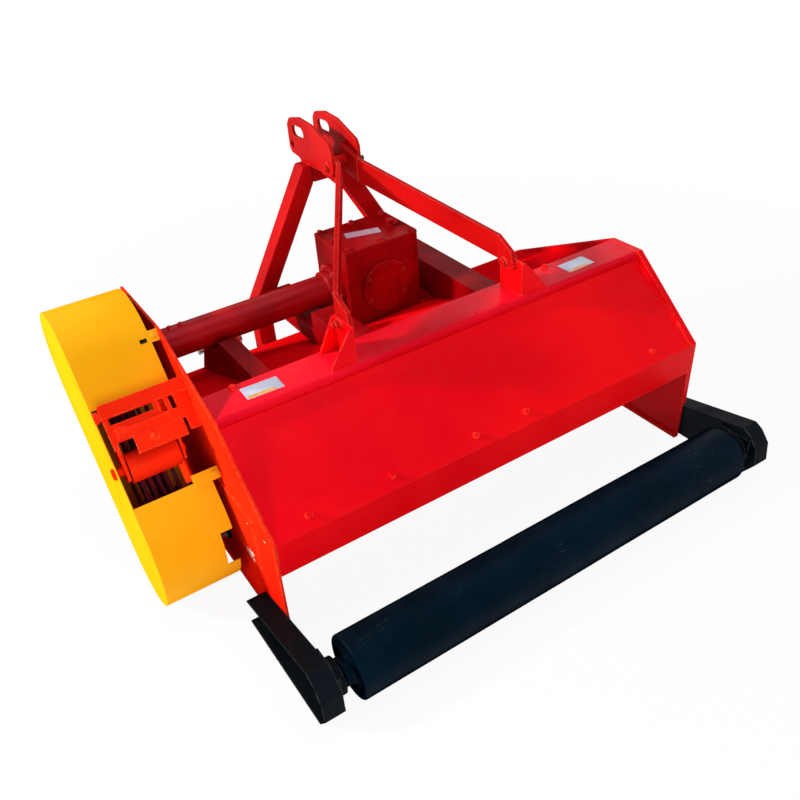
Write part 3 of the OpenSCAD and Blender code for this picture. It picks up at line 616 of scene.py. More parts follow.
softenSet = {
    # node: edge radius in millimetres, share of it on short edges, and whether large faces are cut up first
    "rear_hood": (1.2, 1.0), "front_hood": (1.2, 1.0), "left_side_plate": (1.2, 0.5),
    "right_side_plate": (0.6, 0.4), "skid_bars": (1.5, 1.0), "front_beam": (6.0, 1.0),
    "gearbox_rails": (3.0, 1.0), "gearbox_base": (1.5, 1.0), "tube_stand": (2.0, 1.0),
    "gearbox_housing": (3.6, 0.4), "shaft_tube": (1.5, 1.0), "mast_legs": (6.0, 1.0),
    "mast_head": (4.0, 1.0), "clevis_plates": (2.0, 0.5), "stay_bars": (0.6, 0.4, True),
    "stay_brackets": (1.2, 0.8), "hitch_brackets": (2.0, 0.6), "hitch_pins": (1.2, 1.0),
    "belt_guard": (1.0, 0.5), "guard_tabs": (0.8, 1.0), "tensioner_frame": (0.6, 0.15, True),
    "tensioner_arm": (1.5, 0.5), "idler_pin": (1.2, 1.0), "left_roller_arm": (2.5, 0.5),
    "right_roller_arm": (2.5, 0.5), "roller_bearings": (2.0, 0.8), "rotor_bearings": (3.0, 0.7),
    "drive_bearing": (3.0, 0.7), "rotor_lugs": (1.2, 0.8), "rotor_flails": (1.2, 0.4),
    "rotor_tube": (1.5, 1.0), "roller_stubs": (1.5, 1.0), "drive_pulley": (0.8, 1.0),
    "driven_pulley": (0.8, 1.0),
}
edgeSet = {"long": 0.05, "merge": 1e-5, "flat": 0.5, "fold": 25, "segments": 3}  # metres and degrees


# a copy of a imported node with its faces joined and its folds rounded; edges over "long" take the whole radius
def soften(nodeName, radius, shortShare, cutFaces=False):
    s = edgeSet
    work = bmesh.new()
    work.from_mesh(cadNodes[nodeName].data)
    bmesh.ops.remove_doubles(work, verts=work.verts[:], dist=s["merge"])
    flat = math.radians(s["flat"])
    bmesh.ops.dissolve_limit(work, angle_limit=flat, verts=work.verts[:], edges=work.edges[:])
    if cutFaces:
        bmesh.ops.triangulate(work, faces=[face for face in work.faces if len(face.verts) > 4])
    weight = work.edges.layers.float.new("bevel_weight_edge")
    for edge in work.edges:
        if edge.is_manifold and edge.calc_face_angle(0.0) > math.radians(s["fold"]):
            edge[weight] = 1.0 if edge.calc_length() > s["long"] else shortShare
    mesh = bpy.data.meshes.new(nodeName + "Soft")
    work.to_mesh(mesh)
    work.free()
    obj = finishPiece(nodeName + "Soft", mesh, finishOf[nodeName], bodyOf[nodeName])
    bevel = obj.modifiers.new("edges", "BEVEL")
    bevel.width = radius * mm
    bevel.segments = s["segments"]
    bevel.limit_method = "WEIGHT"
    bevel.use_clamp_overlap = False
    bevel.harden_normals = True
    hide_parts(nodeName)


for nodeName, node in cadNodes.items():
    node.data.materials.clear()
    node.data.materials.append(finishes[finishOf[nodeName]])
for nodeName, numbers in softenSet.items():
    soften(nodeName, *numbers)
print("edges softened on", len(softenSet), "nodes")

boltSizes = {
    # across flats, head height, washer width, washer thickness, stud above the nut; millimetres
    "m16": (24, 10, 34, 3, 0), "m16nut": (24, 13, 34, 3, 9),
    "m12": (18, 8, 27, 2.5, 0), "m12nut": (18, 10, 27, 2.5, 7),
    "m10": (16, 7, 22, 2, 0), "m8": (13, 5.5, 17, 1.6, 0),
}
headSet = {
    "around": 24, "sunk": 0.3, "tipLong": 1.2, "dish": 0.5,  # millimetres
    "rim": 0.3,  # share of the washer's thickness; those below are shares of the flats
    "chamfer": 0.08, "chamferTop": 0.02, "circle": 0.485, "face": 0.42,
    "thread": 0.33, "threadTip": 0.27, "ring": 0.30, "dishWide": 0.26,
}
boltDraws = np.random.default_rng(11)


# washer, six-sided head and thread end: the head's radius is half its flats over the cosine of the angle from
# the nearest flat, cut by a circle at the chamfer
def hexBolt(size, spin):
    s = headSet
    flats, tall, washer, thin, stud = boltSizes[size]
    sixth = np.pi / 3
    sixSided = flats / 2 / np.cos((circle(s["around"]) + spin + sixth / 2) % sixth - sixth / 2)
    top = thin + tall
    chamfered = np.minimum(sixSided, flats * s["circle"])
    rows = [(washer / 2, -s["sunk"]), (washer / 2, thin * (1 - s["rim"])),
            (washer / 2 - thin * s["rim"], thin), (sixSided, thin), (sixSided, top - s["chamfer"] * flats),
            (chamfered, top - s["chamferTop"] * flats), (flats * s["face"], top)]
    if stud:
        rows += [(flats * s["thread"], top), (flats * s["thread"], top + stud - s["tipLong"]),
                 (flats * s["threadTip"], top + stud)]
    else:
        rows += [(flats * s["ring"], top), (flats * s["dishWide"], top - s["dish"])]
    return lathe(rows, s["around"])


def addBolts(name, size, rows, finish, slotName="red_paint"):
    parts = [placed(hexBolt(size, boltDraws.uniform(0, np.pi / 3)), where, axis) for where, axis in rows]
    addPiece(name, parts, finish, "frame", sharp=28)


def ringOf(centre, axis, radius, count, start=0.0):  # places round a circle, each with the circle's axis
    turn = np.radians(start) + circle(count)
    flat = np.stack([np.cos(turn), np.sin(turn), np.zeros(count)], -1) * radius * mm
    return [(point, axis) for point in turned(flat, centre, axis)]


seamOff = 1  # millimetres from a corner to the middle of the bead in it
weldSet = {
    "step": 2.4, "least": 6, "around": 8, "ripple": 6.5, "rippleShare": 0.13, "roughShare": 0.07,
    "thinEnd": 0.04, "seed": 40, "skew": (0.31, 0.47, 0.83),  # skew is a direction that no weld follows
}


# half-sunk bead along a path: its radius swells with a sine ripple and noise and fades by a root at its ends
def bead(path, radius, seed):
    s = weldSet
    path = np.asarray(path, float)
    along = np.r_[0, np.cumsum(np.linalg.norm(np.diff(path, axis=0), axis=1))]
    draws = np.random.default_rng(seed)
    count = max(s["least"], int(along[-1] / (s["step"] * mm)))
    reach = np.linspace(0, along[-1], count)
    middle = np.stack([np.interp(reach, along, path[:, k]) for k in range(3)], -1)
    ahead = np.gradient(middle, axis=0)
    ahead /= np.linalg.norm(ahead, axis=1)[:, None]
    across = np.cross(ahead, np.array(s["skew"]))
    across /= np.linalg.norm(across, axis=1)[:, None]
    up = np.cross(across, ahead)
    ripple = 1 + s["rippleShare"] * np.sin(2 * np.pi * reach / (s["ripple"] * mm))
    ripple += s["roughShare"] * draws.standard_normal(count)
    fade = np.sqrt(np.clip(np.minimum(reach, along[-1] - reach) / (2 * radius), s["thinEnd"], 1))
    turn = circle(s["around"])
    rim = across[:, None] * np.cos(turn)[None, :, None] - up[:, None] * np.sin(turn)[None, :, None]
    return closedRings(middle[:, None] + rim * (radius * ripple * fade)[:, None, None])


# a closed circle of points round an axis
def circlePath(centre, axis, radius, steps=60):
    turn = circle(steps, closed=True)
    return turned(np.stack([np.cos(turn), np.sin(turn), np.zeros(steps)], -1) * radius * mm, centre, axis)


def seams(rows):  # straight paths from rows of corners
    return [[spot(*corner) for corner in row] for row in rows]


def addWelds(name, radius, paths, finish):
    beads = [bead(path, radius * mm, weldSet["seed"] + k) for k, path in enumerate(paths)]
    addPiece(name, beads, finish, "frame", sharp=60)


# The hood: rear slope and the flat strip on top, with its bolts, stickers and seams
skirtHigh = 106
skirtTop = cornersOf("rear_hood")[0][2] + skirtHigh
lipTop = cornersOf("rear_hood")[1][2]
stripLow, stripHigh = cornersOf("top_strip")
sideX, stripTop = stripHigh[0], stripHigh[2]
slopeRise = (lipTop - skirtTop) / stripLow[1]
stripSet = {
    "sheet": 4, "roll": 9, "frontRoll": 4, "leastRoll": 1, "rollSteps": 7, "flatSteps": 6, "along": 120,
    "tuck": 7, "tuckOver": 0.45, "underLip": 1, "overLip": 7, "taper": 0.2,
    "sag": 0.5, "sagLong": 170, "sagFrom": 10, "waves": 3, "seed": 21,
}


# the flat strip carried sideways: its rear edge rolls over in a quarter circle and tucks under, its front
# edge turns down, and its top sinks by the mean of a few sine waves
def makeStrip(s):
    swing = np.linspace(0, math.pi / 2, s["rollSteps"])
    y0, y1 = stripLow[1], stripHigh[1]

    def section(inset):
        rear, front = (max(s[key] - inset, s["leastRoll"]) for key in ("roll", "frontRoll"))
        lip = [(y0 + s["tuck"] + inset, lipTop - s["underLip"] - inset * s["taper"]),
               (y0 + s["tuck"] * s["tuckOver"] + inset, lipTop + s["overLip"])]
        level = stripTop - inset
        rearRoll = [y0 + inset + rear - rear * np.cos(swing), level - rear + rear * np.sin(swing)]
        frontRoll = [y1 - inset - front + front * np.sin(swing), level - front + front * np.cos(swing)]
        flat = [(y, level) for y in np.linspace(y0 + s["roll"], y1 - s["frontRoll"], s["flatSteps"])[1:-1]]
        foot = [(y1 - inset, stripLow[2])]
        return np.concatenate([lip, np.column_stack(rearRoll), flat, np.column_stack(frontRoll), foot])

    outline = np.concatenate([section(0), section(s["sheet"])[::-1]])
    waves = np.random.default_rng(s["seed"]).uniform(0, 2 * np.pi, s["waves"])
    rings = []
    for x in np.linspace(-sideX, sideX, s["along"]):
        swell = sum(math.sin(k * x / s["sagLong"] + wave) for k, wave in enumerate(waves))
        fall = s["sag"] * (s["waves"] / 2 + swell) / s["waves"]
        level = outline[:, 1] - np.where(outline[:, 1] > lipTop + s["sagFrom"], fall, 0)
        rings.append(np.column_stack([np.full(len(outline), x), outline[:, 0], level]))
    return closedRings(np.array(rings) * mm + axesStart)


stripSheet = addPiece("stripSheet", [makeStrip(stripSet)], "redStripPaintedSheen", "frame", sharp=40)
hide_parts("top_strip")

hoodSet = {"slopeBolts": (-639, -384, -101, 82, 600), "slopeUp": 30, "stripBolts": (-655, 450), "stripIn": 14}
slopeAt, slopeOut = (hoodSet["slopeUp"], skirtTop + slopeRise * hoodSet["slopeUp"]), (0, -slopeRise, 1)
addBolts("slopeBolts", "m10", [(spot(x, *slopeAt), slopeOut) for x in hoodSet["slopeBolts"]], "redSheet")
addBolts("stripBolts", "m10", [(spot(x, stripHigh[1] - hoodSet["stripIn"], stripTop), upward)
                               for x in hoodSet["stripBolts"]], "redSheet")

labelSet = {
    "labels": (("leftLabel", -590, -2), ("rightLabel", 538, 1.5)),  # name, place sideways, turn in degrees
    "half": (54, 30), "corner": 4, "thick": 0.5, "sunk": 0.05, "edge": 0.3, "rim": 0.7,
    "bandAt": (-10, -22), "bandHalf": (40, 6), "bandCorner": 2, "bandUp": 0.2,
}


# a thin blank sticker with round corners, lying on the strip, and the band of colour on it
def makeLabel(name, x, degrees, s):
    middle = spot(x, (stripLow[1] + stripHigh[1]) / 2, stripTop)
    rim = s["thick"] * s["rim"]
    sheet = pile(*s["half"], s["corner"], [(0, s["sunk"]), (0, rim), (s["edge"], s["thick"])])
    addPiece(name, [laidFlat(sheet, middle, degrees)], "labelVinylPaintedSheen", "frame", sharp=30)
    points, blocks = pile(*s["bandHalf"], s["bandCorner"], [(0, rim), (0, s["thick"] + s["bandUp"])])
    band = (points + np.array([*s["bandAt"], 0]) * mm, blocks)
    addPiece(name + "Band", [laidFlat(band, middle, degrees)], "bandVinyl", "frame", sharp=30)


for name, x, degrees in labelSet["labels"]:
    makeLabel(name, x, degrees, labelSet)

seamSet = {"bead": 3.2, "in": 2, "slopeFrom": ((4, 2), (6, 4)), "stripFrom": 4, "frontFrom": (6, -39),
           "frontTo": (886, 391)}
seamX, edgeX = sideX - seamSet["in"], sideX - seamOff
hoodSeams = [((side * seamX, y, skirtTop + z), (side * seamX, stripLow[1], lipTop + seamOff))
             for side, (y, z) in zip(sides, seamSet["slopeFrom"])]
hoodSeams += [((-edgeX, stripLow[1] + seamSet["stripFrom"], stripTop), (-edgeX, stripHigh[1], stripTop)),
              ((-seamX, stripHigh[1] + seamSet["frontFrom"][0], stripTop + seamSet["frontFrom"][1]),
               (-seamX, *seamSet["frontTo"]))]
addWelds("hoodWelds", seamSet["bead"], seams(hoodSeams), "redSheet")
print("hood dressed")

# Stay brackets, stays and the clevis
bracketLow, bracketHigh = cornersOf("stay_brackets")
staySet = {
    "webs": ((266, 100), (-330, -84)),  # left face of each web, and how far the bracket reaches outwards
    "webThick": 8, "frontShare": 0.8, "footIn": 8, "webIn": 6, "bead": 3.4,
    "footBolt": (344, 709), "footHeads": (252, -308), "footNuts": (274, -330), "headBolt": (846, 948),
}


# the seams of one bracket: both sides of its web, both ends of its foot and both upright edges
def bracketSeams(web, reach, s):
    y0, y1, z = bracketLow[1] + seamOff, bracketHigh[1] - seamOff, stripTop + seamOff
    inner, outer = (web, web + s["webThick"]) if reach > 0 else (web + s["webThick"], web)
    rows = [((inner, y0, z), (inner, y1, z)), ((outer, y0 + s["footIn"], z), (outer, y1 - s["footIn"], z)),
            ((inner, y0 - seamOff, z), (inner + reach, y0 - seamOff, z)),
            ((inner, y1 + seamOff, z), (inner + reach * s["frontShare"], y1 + seamOff, z))]
    rows += [((outer, y, stripTop + s["webIn"]), (outer, y, bracketHigh[2] - s["footIn"]))
             for y in (y0 + s["webIn"], y1 - s["webIn"])]
    return seams(rows)


bracketWelds = [path for web, reach in staySet["webs"] for path in bracketSeams(web, reach, staySet)]
addWelds("bracketWelds", staySet["bead"], bracketWelds, "redSheet")


def acrossAt(x, yz, outwards=1):  # a place and the sideways axis that points out, or in where outwards is -1
    return spot(x, *yz), (outwards * math.copysign(1, x), 0, 0)


clevisHalf = cornersOf("clevis_plates")[1][0]
footHeads = [acrossAt(x, staySet["footBolt"], -1) for x in staySet["footHeads"]]
footNuts = [acrossAt(x, staySet["footBolt"]) for x in staySet["footNuts"]]
addBolts("stayFootBolts", "m16", footHeads, "redBar")
addBolts("stayFootNuts", "m16nut", footNuts, "redBar")
addBolts("stayHeadBolt", "m16", [acrossAt(-clevisHalf, staySet["headBolt"])], "redBar")
addBolts("stayHeadNut", "m16nut", [acrossAt(clevisHalf, staySet["headBolt"])], "darkBolt", "bare_steel")

mastSet = {"bead": 4.0, "plate": 12, "in": 2, "headUp": 8, "legX": (270, 330), "legZ": (266, 340)}
headLow, headHigh = cornersOf("mast_head")
mastRear, plateIn = headLow[1] - seamOff, clevisHalf - mastSet["plate"]
(legIn, legOut), (legFoot, legTop) = mastSet["legX"], mastSet["legZ"]
headUp, seamIn = headHigh[2] + seamOff, mastSet["in"]
mastSeams = [[(side * clevisHalf, y, headUp) for y in (headLow[1] + seamIn, headHigh[1] - seamIn)]
             for side in sides]
mastSeams += [[(side * plateIn, mastRear, z) for z in (headLow[2] + mastSet["headUp"], headHigh[2])]
              for side in sides]
mastSeams += [[(side * x, mastRear, z) for z in (legFoot, legTop)] for side in sides for x in (legIn, legOut)]
mastSeams += [[(side * x, mastRear, legTop + seamOff) for x in (legIn + seamIn, legOut - seamIn)]
              for side in sides]
addWelds("mastWelds", mastSet["bead"], seams(mastSeams), "redBar")
print("mast and stays dressed")

# Gearbox: lid, round rear cover, side and front rings, bolts, blank plate and breather
gearLow, gearHigh = cornersOf("gearbox_covers")
tubeY, tubeZ = middleOf("shaft_tube")[1:]
gearSet = {
    "lidHalf": (137, 104), "lidCorner": 12,
    "lidRows": [(2.5, -9.4), (0.6, -9), (0.2, -1.8), (0.8, -0.6), (2.4, 0)],
    "lidX": 118, "lidY": (650, 828), "footX": 158, "footY": (700, 778), "footZ": 506,
    # each cover: profile rows of (radius, height) outwards from its seat, where the seat is, and steps around
    "coverRows": [(86.5, 0.2), (86.5, 9), (84, 11.6), (64, 12), (62, 11.2), (58, 10.6), (54, 11.2), (50, 12),
                  (20, 12.4)],
    "coverThick": 12, "coverSteps": 72,
    "sideRows": [(69.5, 0.2), (69.5, 9), (67, 11.8), (30, 12), (28, 13.4)], "sideX": 134, "sideFace": 146,
    "frontRows": [(74.5, 0.2), (74.5, 13), (72, 15.8), (30, 16)], "frontY": 840, "frontFace": 856,
    "ringSteps": 64,
    # bolt circles: radius and turn of the first bolt
    "coverBolts": (74, 30), "sideBolts": (56, 10), "frontBolts": (60, 30), "hubBolts": (65, 0), "hubX": -148,
    "ringCount": 6, "breather": (88, 724),
    "breatherRows": [(13, -0.3), (13, 7), (11, 8.5), (8, 9), (8, 13), (14, 14), (14.5, 16), (14.5, 22),
                     (12, 25), (4, 26)],
    "breatherSteps": 24,
}
lidTop = gearHigh[2]
lidMiddle = sum(gearSet["lidY"]) / 2


# the lid is a pile of rounded rectangles, the covers are turned profiles
def makeGearFaces(s):
    lid, blocks = pile(*s["lidHalf"], s["lidCorner"], s["lidRows"])
    coverSeat = spot(0, gearLow[1] + s["coverThick"], tubeZ)
    return [
        (lid + spot(0, lidMiddle, lidTop), blocks),
        placed(lathe(s["coverRows"], s["coverSteps"]), coverSeat, rearward),
        placed(lathe(s["sideRows"], s["ringSteps"]), spot(s["sideX"], tubeY, tubeZ), rightward),
        placed(lathe(s["frontRows"], s["ringSteps"]), spot(0, s["frontY"], tubeZ), frontward),
    ]


def gearRing(centre, axis, key):
    radius, start = gearSet[key]
    return ringOf(centre, axis, radius, gearSet["ringCount"], start)


casting = ("redCastingPaintedShade", "gearbox_casting")  # finish of what is bolted to the housing, and the name gearbox_casting
gearFaces = addPiece("gearboxFaces", makeGearFaces(gearSet), "redCastingPaintedShade", "frame")
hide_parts("gearbox_covers")
lidX = gearSet["lidX"]
lidRows = [(spot(x, y, lidTop), upward) for x in (-lidX, 0, lidX) for y in gearSet["lidY"]]
lidRows += [(spot(x, lidMiddle, lidTop), upward) for x in (-lidX, lidX)]
addBolts("lidBolts", "m10", lidRows, *casting)
addBolts("coverBolts", "m8", gearRing(spot(0, gearLow[1], tubeZ), rearward, "coverBolts")
         + gearRing(spot(gearSet["sideFace"], tubeY, tubeZ), rightward, "sideBolts")
         + gearRing(spot(0, gearSet["frontFace"], tubeZ), frontward, "frontBolts"), *casting)
addBolts("hubBolts", "m10", gearRing(spot(gearSet["hubX"], tubeY, tubeZ), leftward, "hubBolts"),
         "redTube", "gearbox_casting")
addBolts("footBolts", "m12", [(spot(side * gearSet["footX"], y, gearSet["footZ"]), upward)
                              for side in sides for y in gearSet["footY"]], *casting)

plateSet = {"at": (-12, 735), "half": (58, 20), "corner": 3, "turn": -16,
            "rows": [(0, 0.05), (0, 0.7), (0.3, 1.0)]}
plate = laidFlat(pile(*plateSet["half"], plateSet["corner"], plateSet["rows"]),
                 spot(*plateSet["at"], lidTop), plateSet["turn"])
addPiece("ratingPlate", [plate], "plateFoil", "frame")
breather = lathe(gearSet["breatherRows"], gearSet["breatherSteps"])
breather = placed(breather, spot(*gearSet["breather"], lidTop))
addPiece("breather", [breather], "redCastingPaintedShade", "frame")

tubeSet = {"bead": 4.0, "weldRadius": 50.5, "plateThick": 12, "hubWeld": -174, "plugs": (-690, -655),
           "plugUp": 48.6, "standX": (-582, -526), "standHalf": 3, "standDown": 49.5}
standZ, (standLeft, standRight) = tubeZ - tubeSet["standDown"], tubeSet["standX"]
standRear, standFront = tubeY - tubeSet["standHalf"], tubeY + tubeSet["standHalf"]
standSeam = ((standLeft, standRear, standZ), (standLeft, standFront, standZ),
             (standRight, standFront, standZ))
addWelds("tubeWelds", tubeSet["bead"], [
    circlePath(spot(tubeSet["plateThick"] - sideX, tubeY, tubeZ), rightward, tubeSet["weldRadius"]),
    circlePath(spot(tubeSet["hubWeld"], tubeY, tubeZ), leftward, tubeSet["weldRadius"]),
    *seams([standSeam]),
], "redTube")
tubePlugs = [(spot(x, tubeY, tubeZ + tubeSet["plugUp"]), upward) for x in tubeSet["plugs"]]
addBolts("tubePlugs", "m8", tubePlugs, "redTube")
print("gearbox and tube dressed")

# Belts: five V-belts round both pulleys, and the tensioner's roller
drivenLow, drivenHigh = cornersOf("driven_pulley")
driveLow, driveHigh = cornersOf("drive_pulley")
rotorAt = (drivenLow[1:] + drivenHigh[1:]) / 2
driveAt = (driveLow[1:] + driveHigh[1:]) / 2
run = float(np.linalg.norm(driveAt - rotorAt))
runWay = (driveAt - rotorAt) / run  # from the rotor up to the drive shaft
runOut = np.array([-runWay[1], runWay[0]])  # square to it, up and to the rear
beltSet = {
    "count": 5, "pitch": 22, "wide": 11, "narrow": 6.6, "deep": 9.0, "arcSteps": 40, "lineSteps": 30,
    "crown": 0.95, "crownIn": 1.0, "shoulder": 0.1, "flank": 1.4, "foot": 0.6, "footIn": 0.7,
}


# x sideways, s along the run, n square to it, all in millimetres
def onRun(x, s, n):
    y, z = rotorAt + s * runWay + n * runOut
    return spot(x, y, z)


# the closed line round both pulleys, as (s, n): two arcs at a given height above the rims, and their tangents
def beltLine(above):
    rotorR, driveR = (drivenHigh[1] - drivenLow[1]) / 2 + above, (driveHigh[1] - driveLow[1]) / 2 + above
    tilt = math.asin((driveR - rotorR) / run)
    rotorTurn = np.linspace(math.pi / 2 + tilt, 3 * math.pi / 2 - tilt, beltSet["arcSteps"])
    driveTurn = np.linspace(-math.pi / 2 - tilt, math.pi / 2 + tilt, beltSet["arcSteps"])
    lower = np.stack([rotorR * np.cos(rotorTurn), rotorR * np.sin(rotorTurn)], -1)
    upper = np.stack([run + driveR * np.cos(driveTurn), driveR * np.sin(driveTurn)], -1)
    share = np.linspace(0, 1, beltSet["lineSteps"])[1:-1, None]
    return np.concatenate([lower, lower[-1] + share * (upper[0] - lower[-1]),
                           upper, upper[-1] + share * (lower[0] - upper[-1])])


# one belt: a wedge section with rounded corners carried round the line
def makeBelt(x, s):
    half, thin, deep = s["wide"] / 2, s["narrow"] / 2, s["deep"]
    side = [(half - s["crownIn"], s["crown"]), (half, s["shoulder"]), (half, -s["flank"]),
            (thin, -deep + s["foot"]), (thin - s["footIn"], -deep)]
    rings = []
    for across, above in [(-across, above) for across, above in side] + side[::-1]:
        line = beltLine(above)
        flat = rotorAt + line[:, :1] * runWay + line[:, 1:] * runOut
        rings.append(np.column_stack([np.full(len(flat), x + across), flat]))
    rings = np.array(rings) * mm + axesStart
    return rings.reshape(-1, 3), [ringFaces(*rings.shape[:2], loop=True)]


firstBelt = cornersOf("drive_belts")[0][0] + beltSet["wide"] / 2
beltParts = [makeBelt(firstBelt + k * beltSet["pitch"], beltSet) for k in range(beltSet["count"])]
belts = addPiece("vBelts", beltParts, "beltRubber", "frame", sharp=30)
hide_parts("drive_belts")

idlerLow, idlerHigh = cornersOf("idler_roller")
idlerY, idlerZ = middleOf("idler_roller")[1:]
idlerLong, idlerR = idlerHigh[0] - idlerLow[0], (idlerHigh[1] - idlerLow[1]) / 2
idlerSet = {
    "bore": 13, "dish": 1.5, "endIn": (9, 7, 3, 0.8), "endUp": (1.5, 0.4, 0, 0.9, 3.2), "straight": 8,
    "steps": 8, "around": 72, "capIn": 14, "capSteps": 40,
    "capRows": [(6, 0), (12.5, 0.4), (14.6, 2), (15, 4), (15, 11), (13.8, 12.6), (10, 13.4), (5, 13.8)],
}


# the idler: a turned drum, its dished end rolled over into the straight middle, the same at both ends
def makeIdler(s):
    end = [(s["bore"], s["dish"])] + [(idlerR - inset, h) for inset, h in zip((*s["endIn"], 0), s["endUp"])]
    middle = [(idlerR, h) for h in np.linspace(s["straight"], idlerLong - s["straight"], s["steps"])]
    return lathe(end + middle + [(r, idlerLong - h) for r, h in end[::-1]], s["around"])


idler = addPiece("idlerDrum", [placed(makeIdler(idlerSet), spot(idlerLow[0], idlerY, idlerZ), rightward)],
                 "redPaintedSunlit", "idler", sharp=40)
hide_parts("idler_roller")
pinCap = placed(lathe(idlerSet["capRows"], idlerSet["capSteps"]),
                spot(cornersOf("idler_pin")[0][0] + idlerSet["capIn"], idlerY, idlerZ), leftward)
addPiece("idlerPinCap", [pinCap], "redPaintedSunlit", "frame", sharp=40)

tensionSet = {
    "hookBolt": (-885, 236, 248), "tabIn": 12, "tabS": (87, 498), "upperN": (202, 198), "lowerN": -198,
    "bead": 3.2, "plateFace": -760, "jawS": (220, 356), "jawN": (243, 233),
    "crossX": (-936, -806), "crossAt": (256, 247), "innerX": (-934, -806), "innerAt": (214, 241),
}
tabX = cornersOf("belt_guard")[1][0] + tensionSet["tabIn"]
upOut, downOut = (0, *runOut), (0, *-runOut)
addBolts("tensionerBolts", "m12nut", [(onRun(*tensionSet["hookBolt"]), upOut)], "redPaintedSunlit")
tabRows = [(onRun(tabX, s, n), upOut) for s, n in zip(tensionSet["tabS"], tensionSet["upperN"])]
tabRows += [(onRun(tabX, s, tensionSet["lowerN"]), downOut) for s in tensionSet["tabS"]]
addBolts("tabBolts", "m8", tabRows, "yellowGuard", "yellow_paint")

chipSet = {
    # rows of place forward, height, length and turn
    "rows": [(179, 222, 27, 22), (186, 207, 15, -32), (162, 206, 8, 70), (40, 372, 6, 15), (150, 352, 5, 60)],
    "around": 22, "ragged": 0.32, "slim": 0.38, "thick": 0.25, "shoulder": 0.125, "sunk": 0.3, "top": 0.9,
    "seed": 33,
}
plateLeft = cornersOf("left_side_plate")[0][0]


# flakes of bare primer on the side plate: low slivers, an ellipse whose radius is ragged by noise
def makeChips(s):
    draws = np.random.default_rng(s["seed"])
    turn = circle(s["around"])
    parts = []
    for y, z, long, degrees in s["rows"]:
        ragged = 1 + s["ragged"] * draws.standard_normal(s["around"])
        flat = np.stack([long * ragged * np.cos(turn), s["slim"] * long * ragged * np.sin(turn)], -1)
        c, d = math.cos(math.radians(degrees)), math.sin(math.radians(degrees))
        flat = flat @ np.array([[c, d], [-d, c]])
        levels = ((1.0, -s["sunk"]), (1.0, s["shoulder"]), (s["top"], s["thick"]))
        rings = [np.column_stack([flat * size, np.full(s["around"], height)]) for size, height in levels]
        parts.append(placed(closedRings(np.array(rings) * mm), spot(plateLeft, y, z), leftward))
    return parts


addPiece("paintChips", makeChips(chipSet), "chipPrimer", "frame", sharp=40)

plateWeld = tensionSet["plateFace"] - seamOff
tensionSeams = [[onRun(plateWeld, s, n) for s in tensionSet["jawS"]] for n in tensionSet["jawN"]]
tensionSeams += [[onRun(x, *tensionSet["crossAt"]) for x in tensionSet["crossX"]],
                 [onRun(x, *tensionSet["innerAt"]) for x in tensionSet["innerX"]]]
addWelds("tensionerWelds", tensionSet["bead"], tensionSeams, "redPaintedSunlit")
print("belt drive dressed")

# Rear roller: a rolled drum with turned ends, stub rings and fine dents
drumLow, drumHigh = cornersOf("roller_drum")
drumY, drumZ = middleOf("roller_drum")[1:]
drumSet = {"hub": 40, "hubLong": 24, "bore": 30, "edge": 6, "straight": 12, "rows": 90, "around": 128,
           "dent": 0.5, "dents": 26, "wide": (30, 90), "spread": (0.2, 0.6), "deep": (0.3, 1.0), "calm": 8,
           "seed": 5}
drumR, drumEnd = (drumHigh[1] - drumLow[1]) / 2, drumHigh[0]
drumHalf = drumEnd - drumSet["hubLong"]


# the drum: a turned profile whose radius sinks by a sum of bell curves in length and angle, one to a dent
def makeDrum(s):
    hub, edge = s["hub"], drumR - s["edge"]
    end = [(s["bore"], drumEnd - 0.2), (hub - 2, drumEnd - 0.2), (hub, drumEnd - 2), (hub, drumHalf + 5),
           (hub + 2, drumHalf + 2.4), (hub + 6, drumHalf), (drumR - 12, drumHalf - 0.6),
           (drumR - 9, drumHalf), (edge, drumHalf), (drumR - 2.6, drumHalf - 1.4),
           (drumR - 0.7, drumHalf - 3.6), (drumR, drumHalf - s["edge"])]
    straight = drumHalf - s["straight"]
    middle = [(drumR, x) for x in np.linspace(straight, -straight, s["rows"])]
    profile = end + middle + [(r, -x) for r, x in end[::-1]]
    draws = np.random.default_rng(s["seed"])
    turn = circle(s["around"])
    dents = [(draws.uniform(-drumHalf, drumHalf), draws.uniform(0, 2 * np.pi), draws.uniform(*s["wide"]),
              draws.uniform(*s["spread"]), draws.uniform(*s["deep"])) for _ in range(s["dents"])]
    rows = []
    for r, x in profile:
        radius = np.full(s["around"], float(r))
        if abs(x) < drumHalf - s["calm"]:
            for at, facing, wide, spread, deep in dents:
                away = np.angle(np.exp(1j * (turn - facing)))
                radius -= s["dent"] * deep * np.exp(-((x - at) / wide) ** 2 - (away / spread) ** 2)
        rows.append((radius, -x))
    return placed(lathe(rows, s["around"]), spot(0, drumY, drumZ), leftward)


drum = addPiece("rollerDrum", [makeDrum(drumSet)], "blackDrumPaintedSheen", "rear_roller", sharp=30)
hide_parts("roller_drum")


def cornerBolts(x, y, z, half):  # four places round a bearing, on the face at x
    outwards = (math.copysign(1, x), 0, 0)
    return [(spot(x, y + dy, z + dz), outwards) for dy in (-half, half) for dz in (-half, half)]


armSet = {"face": 768, "bolts": ((40, 62), (104, 62)), "stubHalf": 44, "bearingFace": 774, "bearingHalf": 58}
armRows = [(spot(side * armSet["face"], y, z), (side, 0, 0)) for side in sides for y, z in armSet["bolts"]]
for side in sides:
    armRows += cornerBolts(side * armSet["face"], drumY, drumZ, armSet["stubHalf"])
addBolts("armBolts", "m12", armRows, "blackArm", "black_paint")
bearingY, bearingZ = middleOf("rotor_bearings")[1:]
bearingRows = []
for x, y, z in ((-1, bearingY, bearingZ), (1, bearingY, bearingZ), (-1, tubeY, tubeZ)):
    bearingRows += cornerBolts(x * armSet["bearingFace"], y, z, armSet["bearingHalf"])
addBolts("bearingBolts", "m12nut", bearingRows, "darkBolt", "bare_steel")
print("roller dressed")

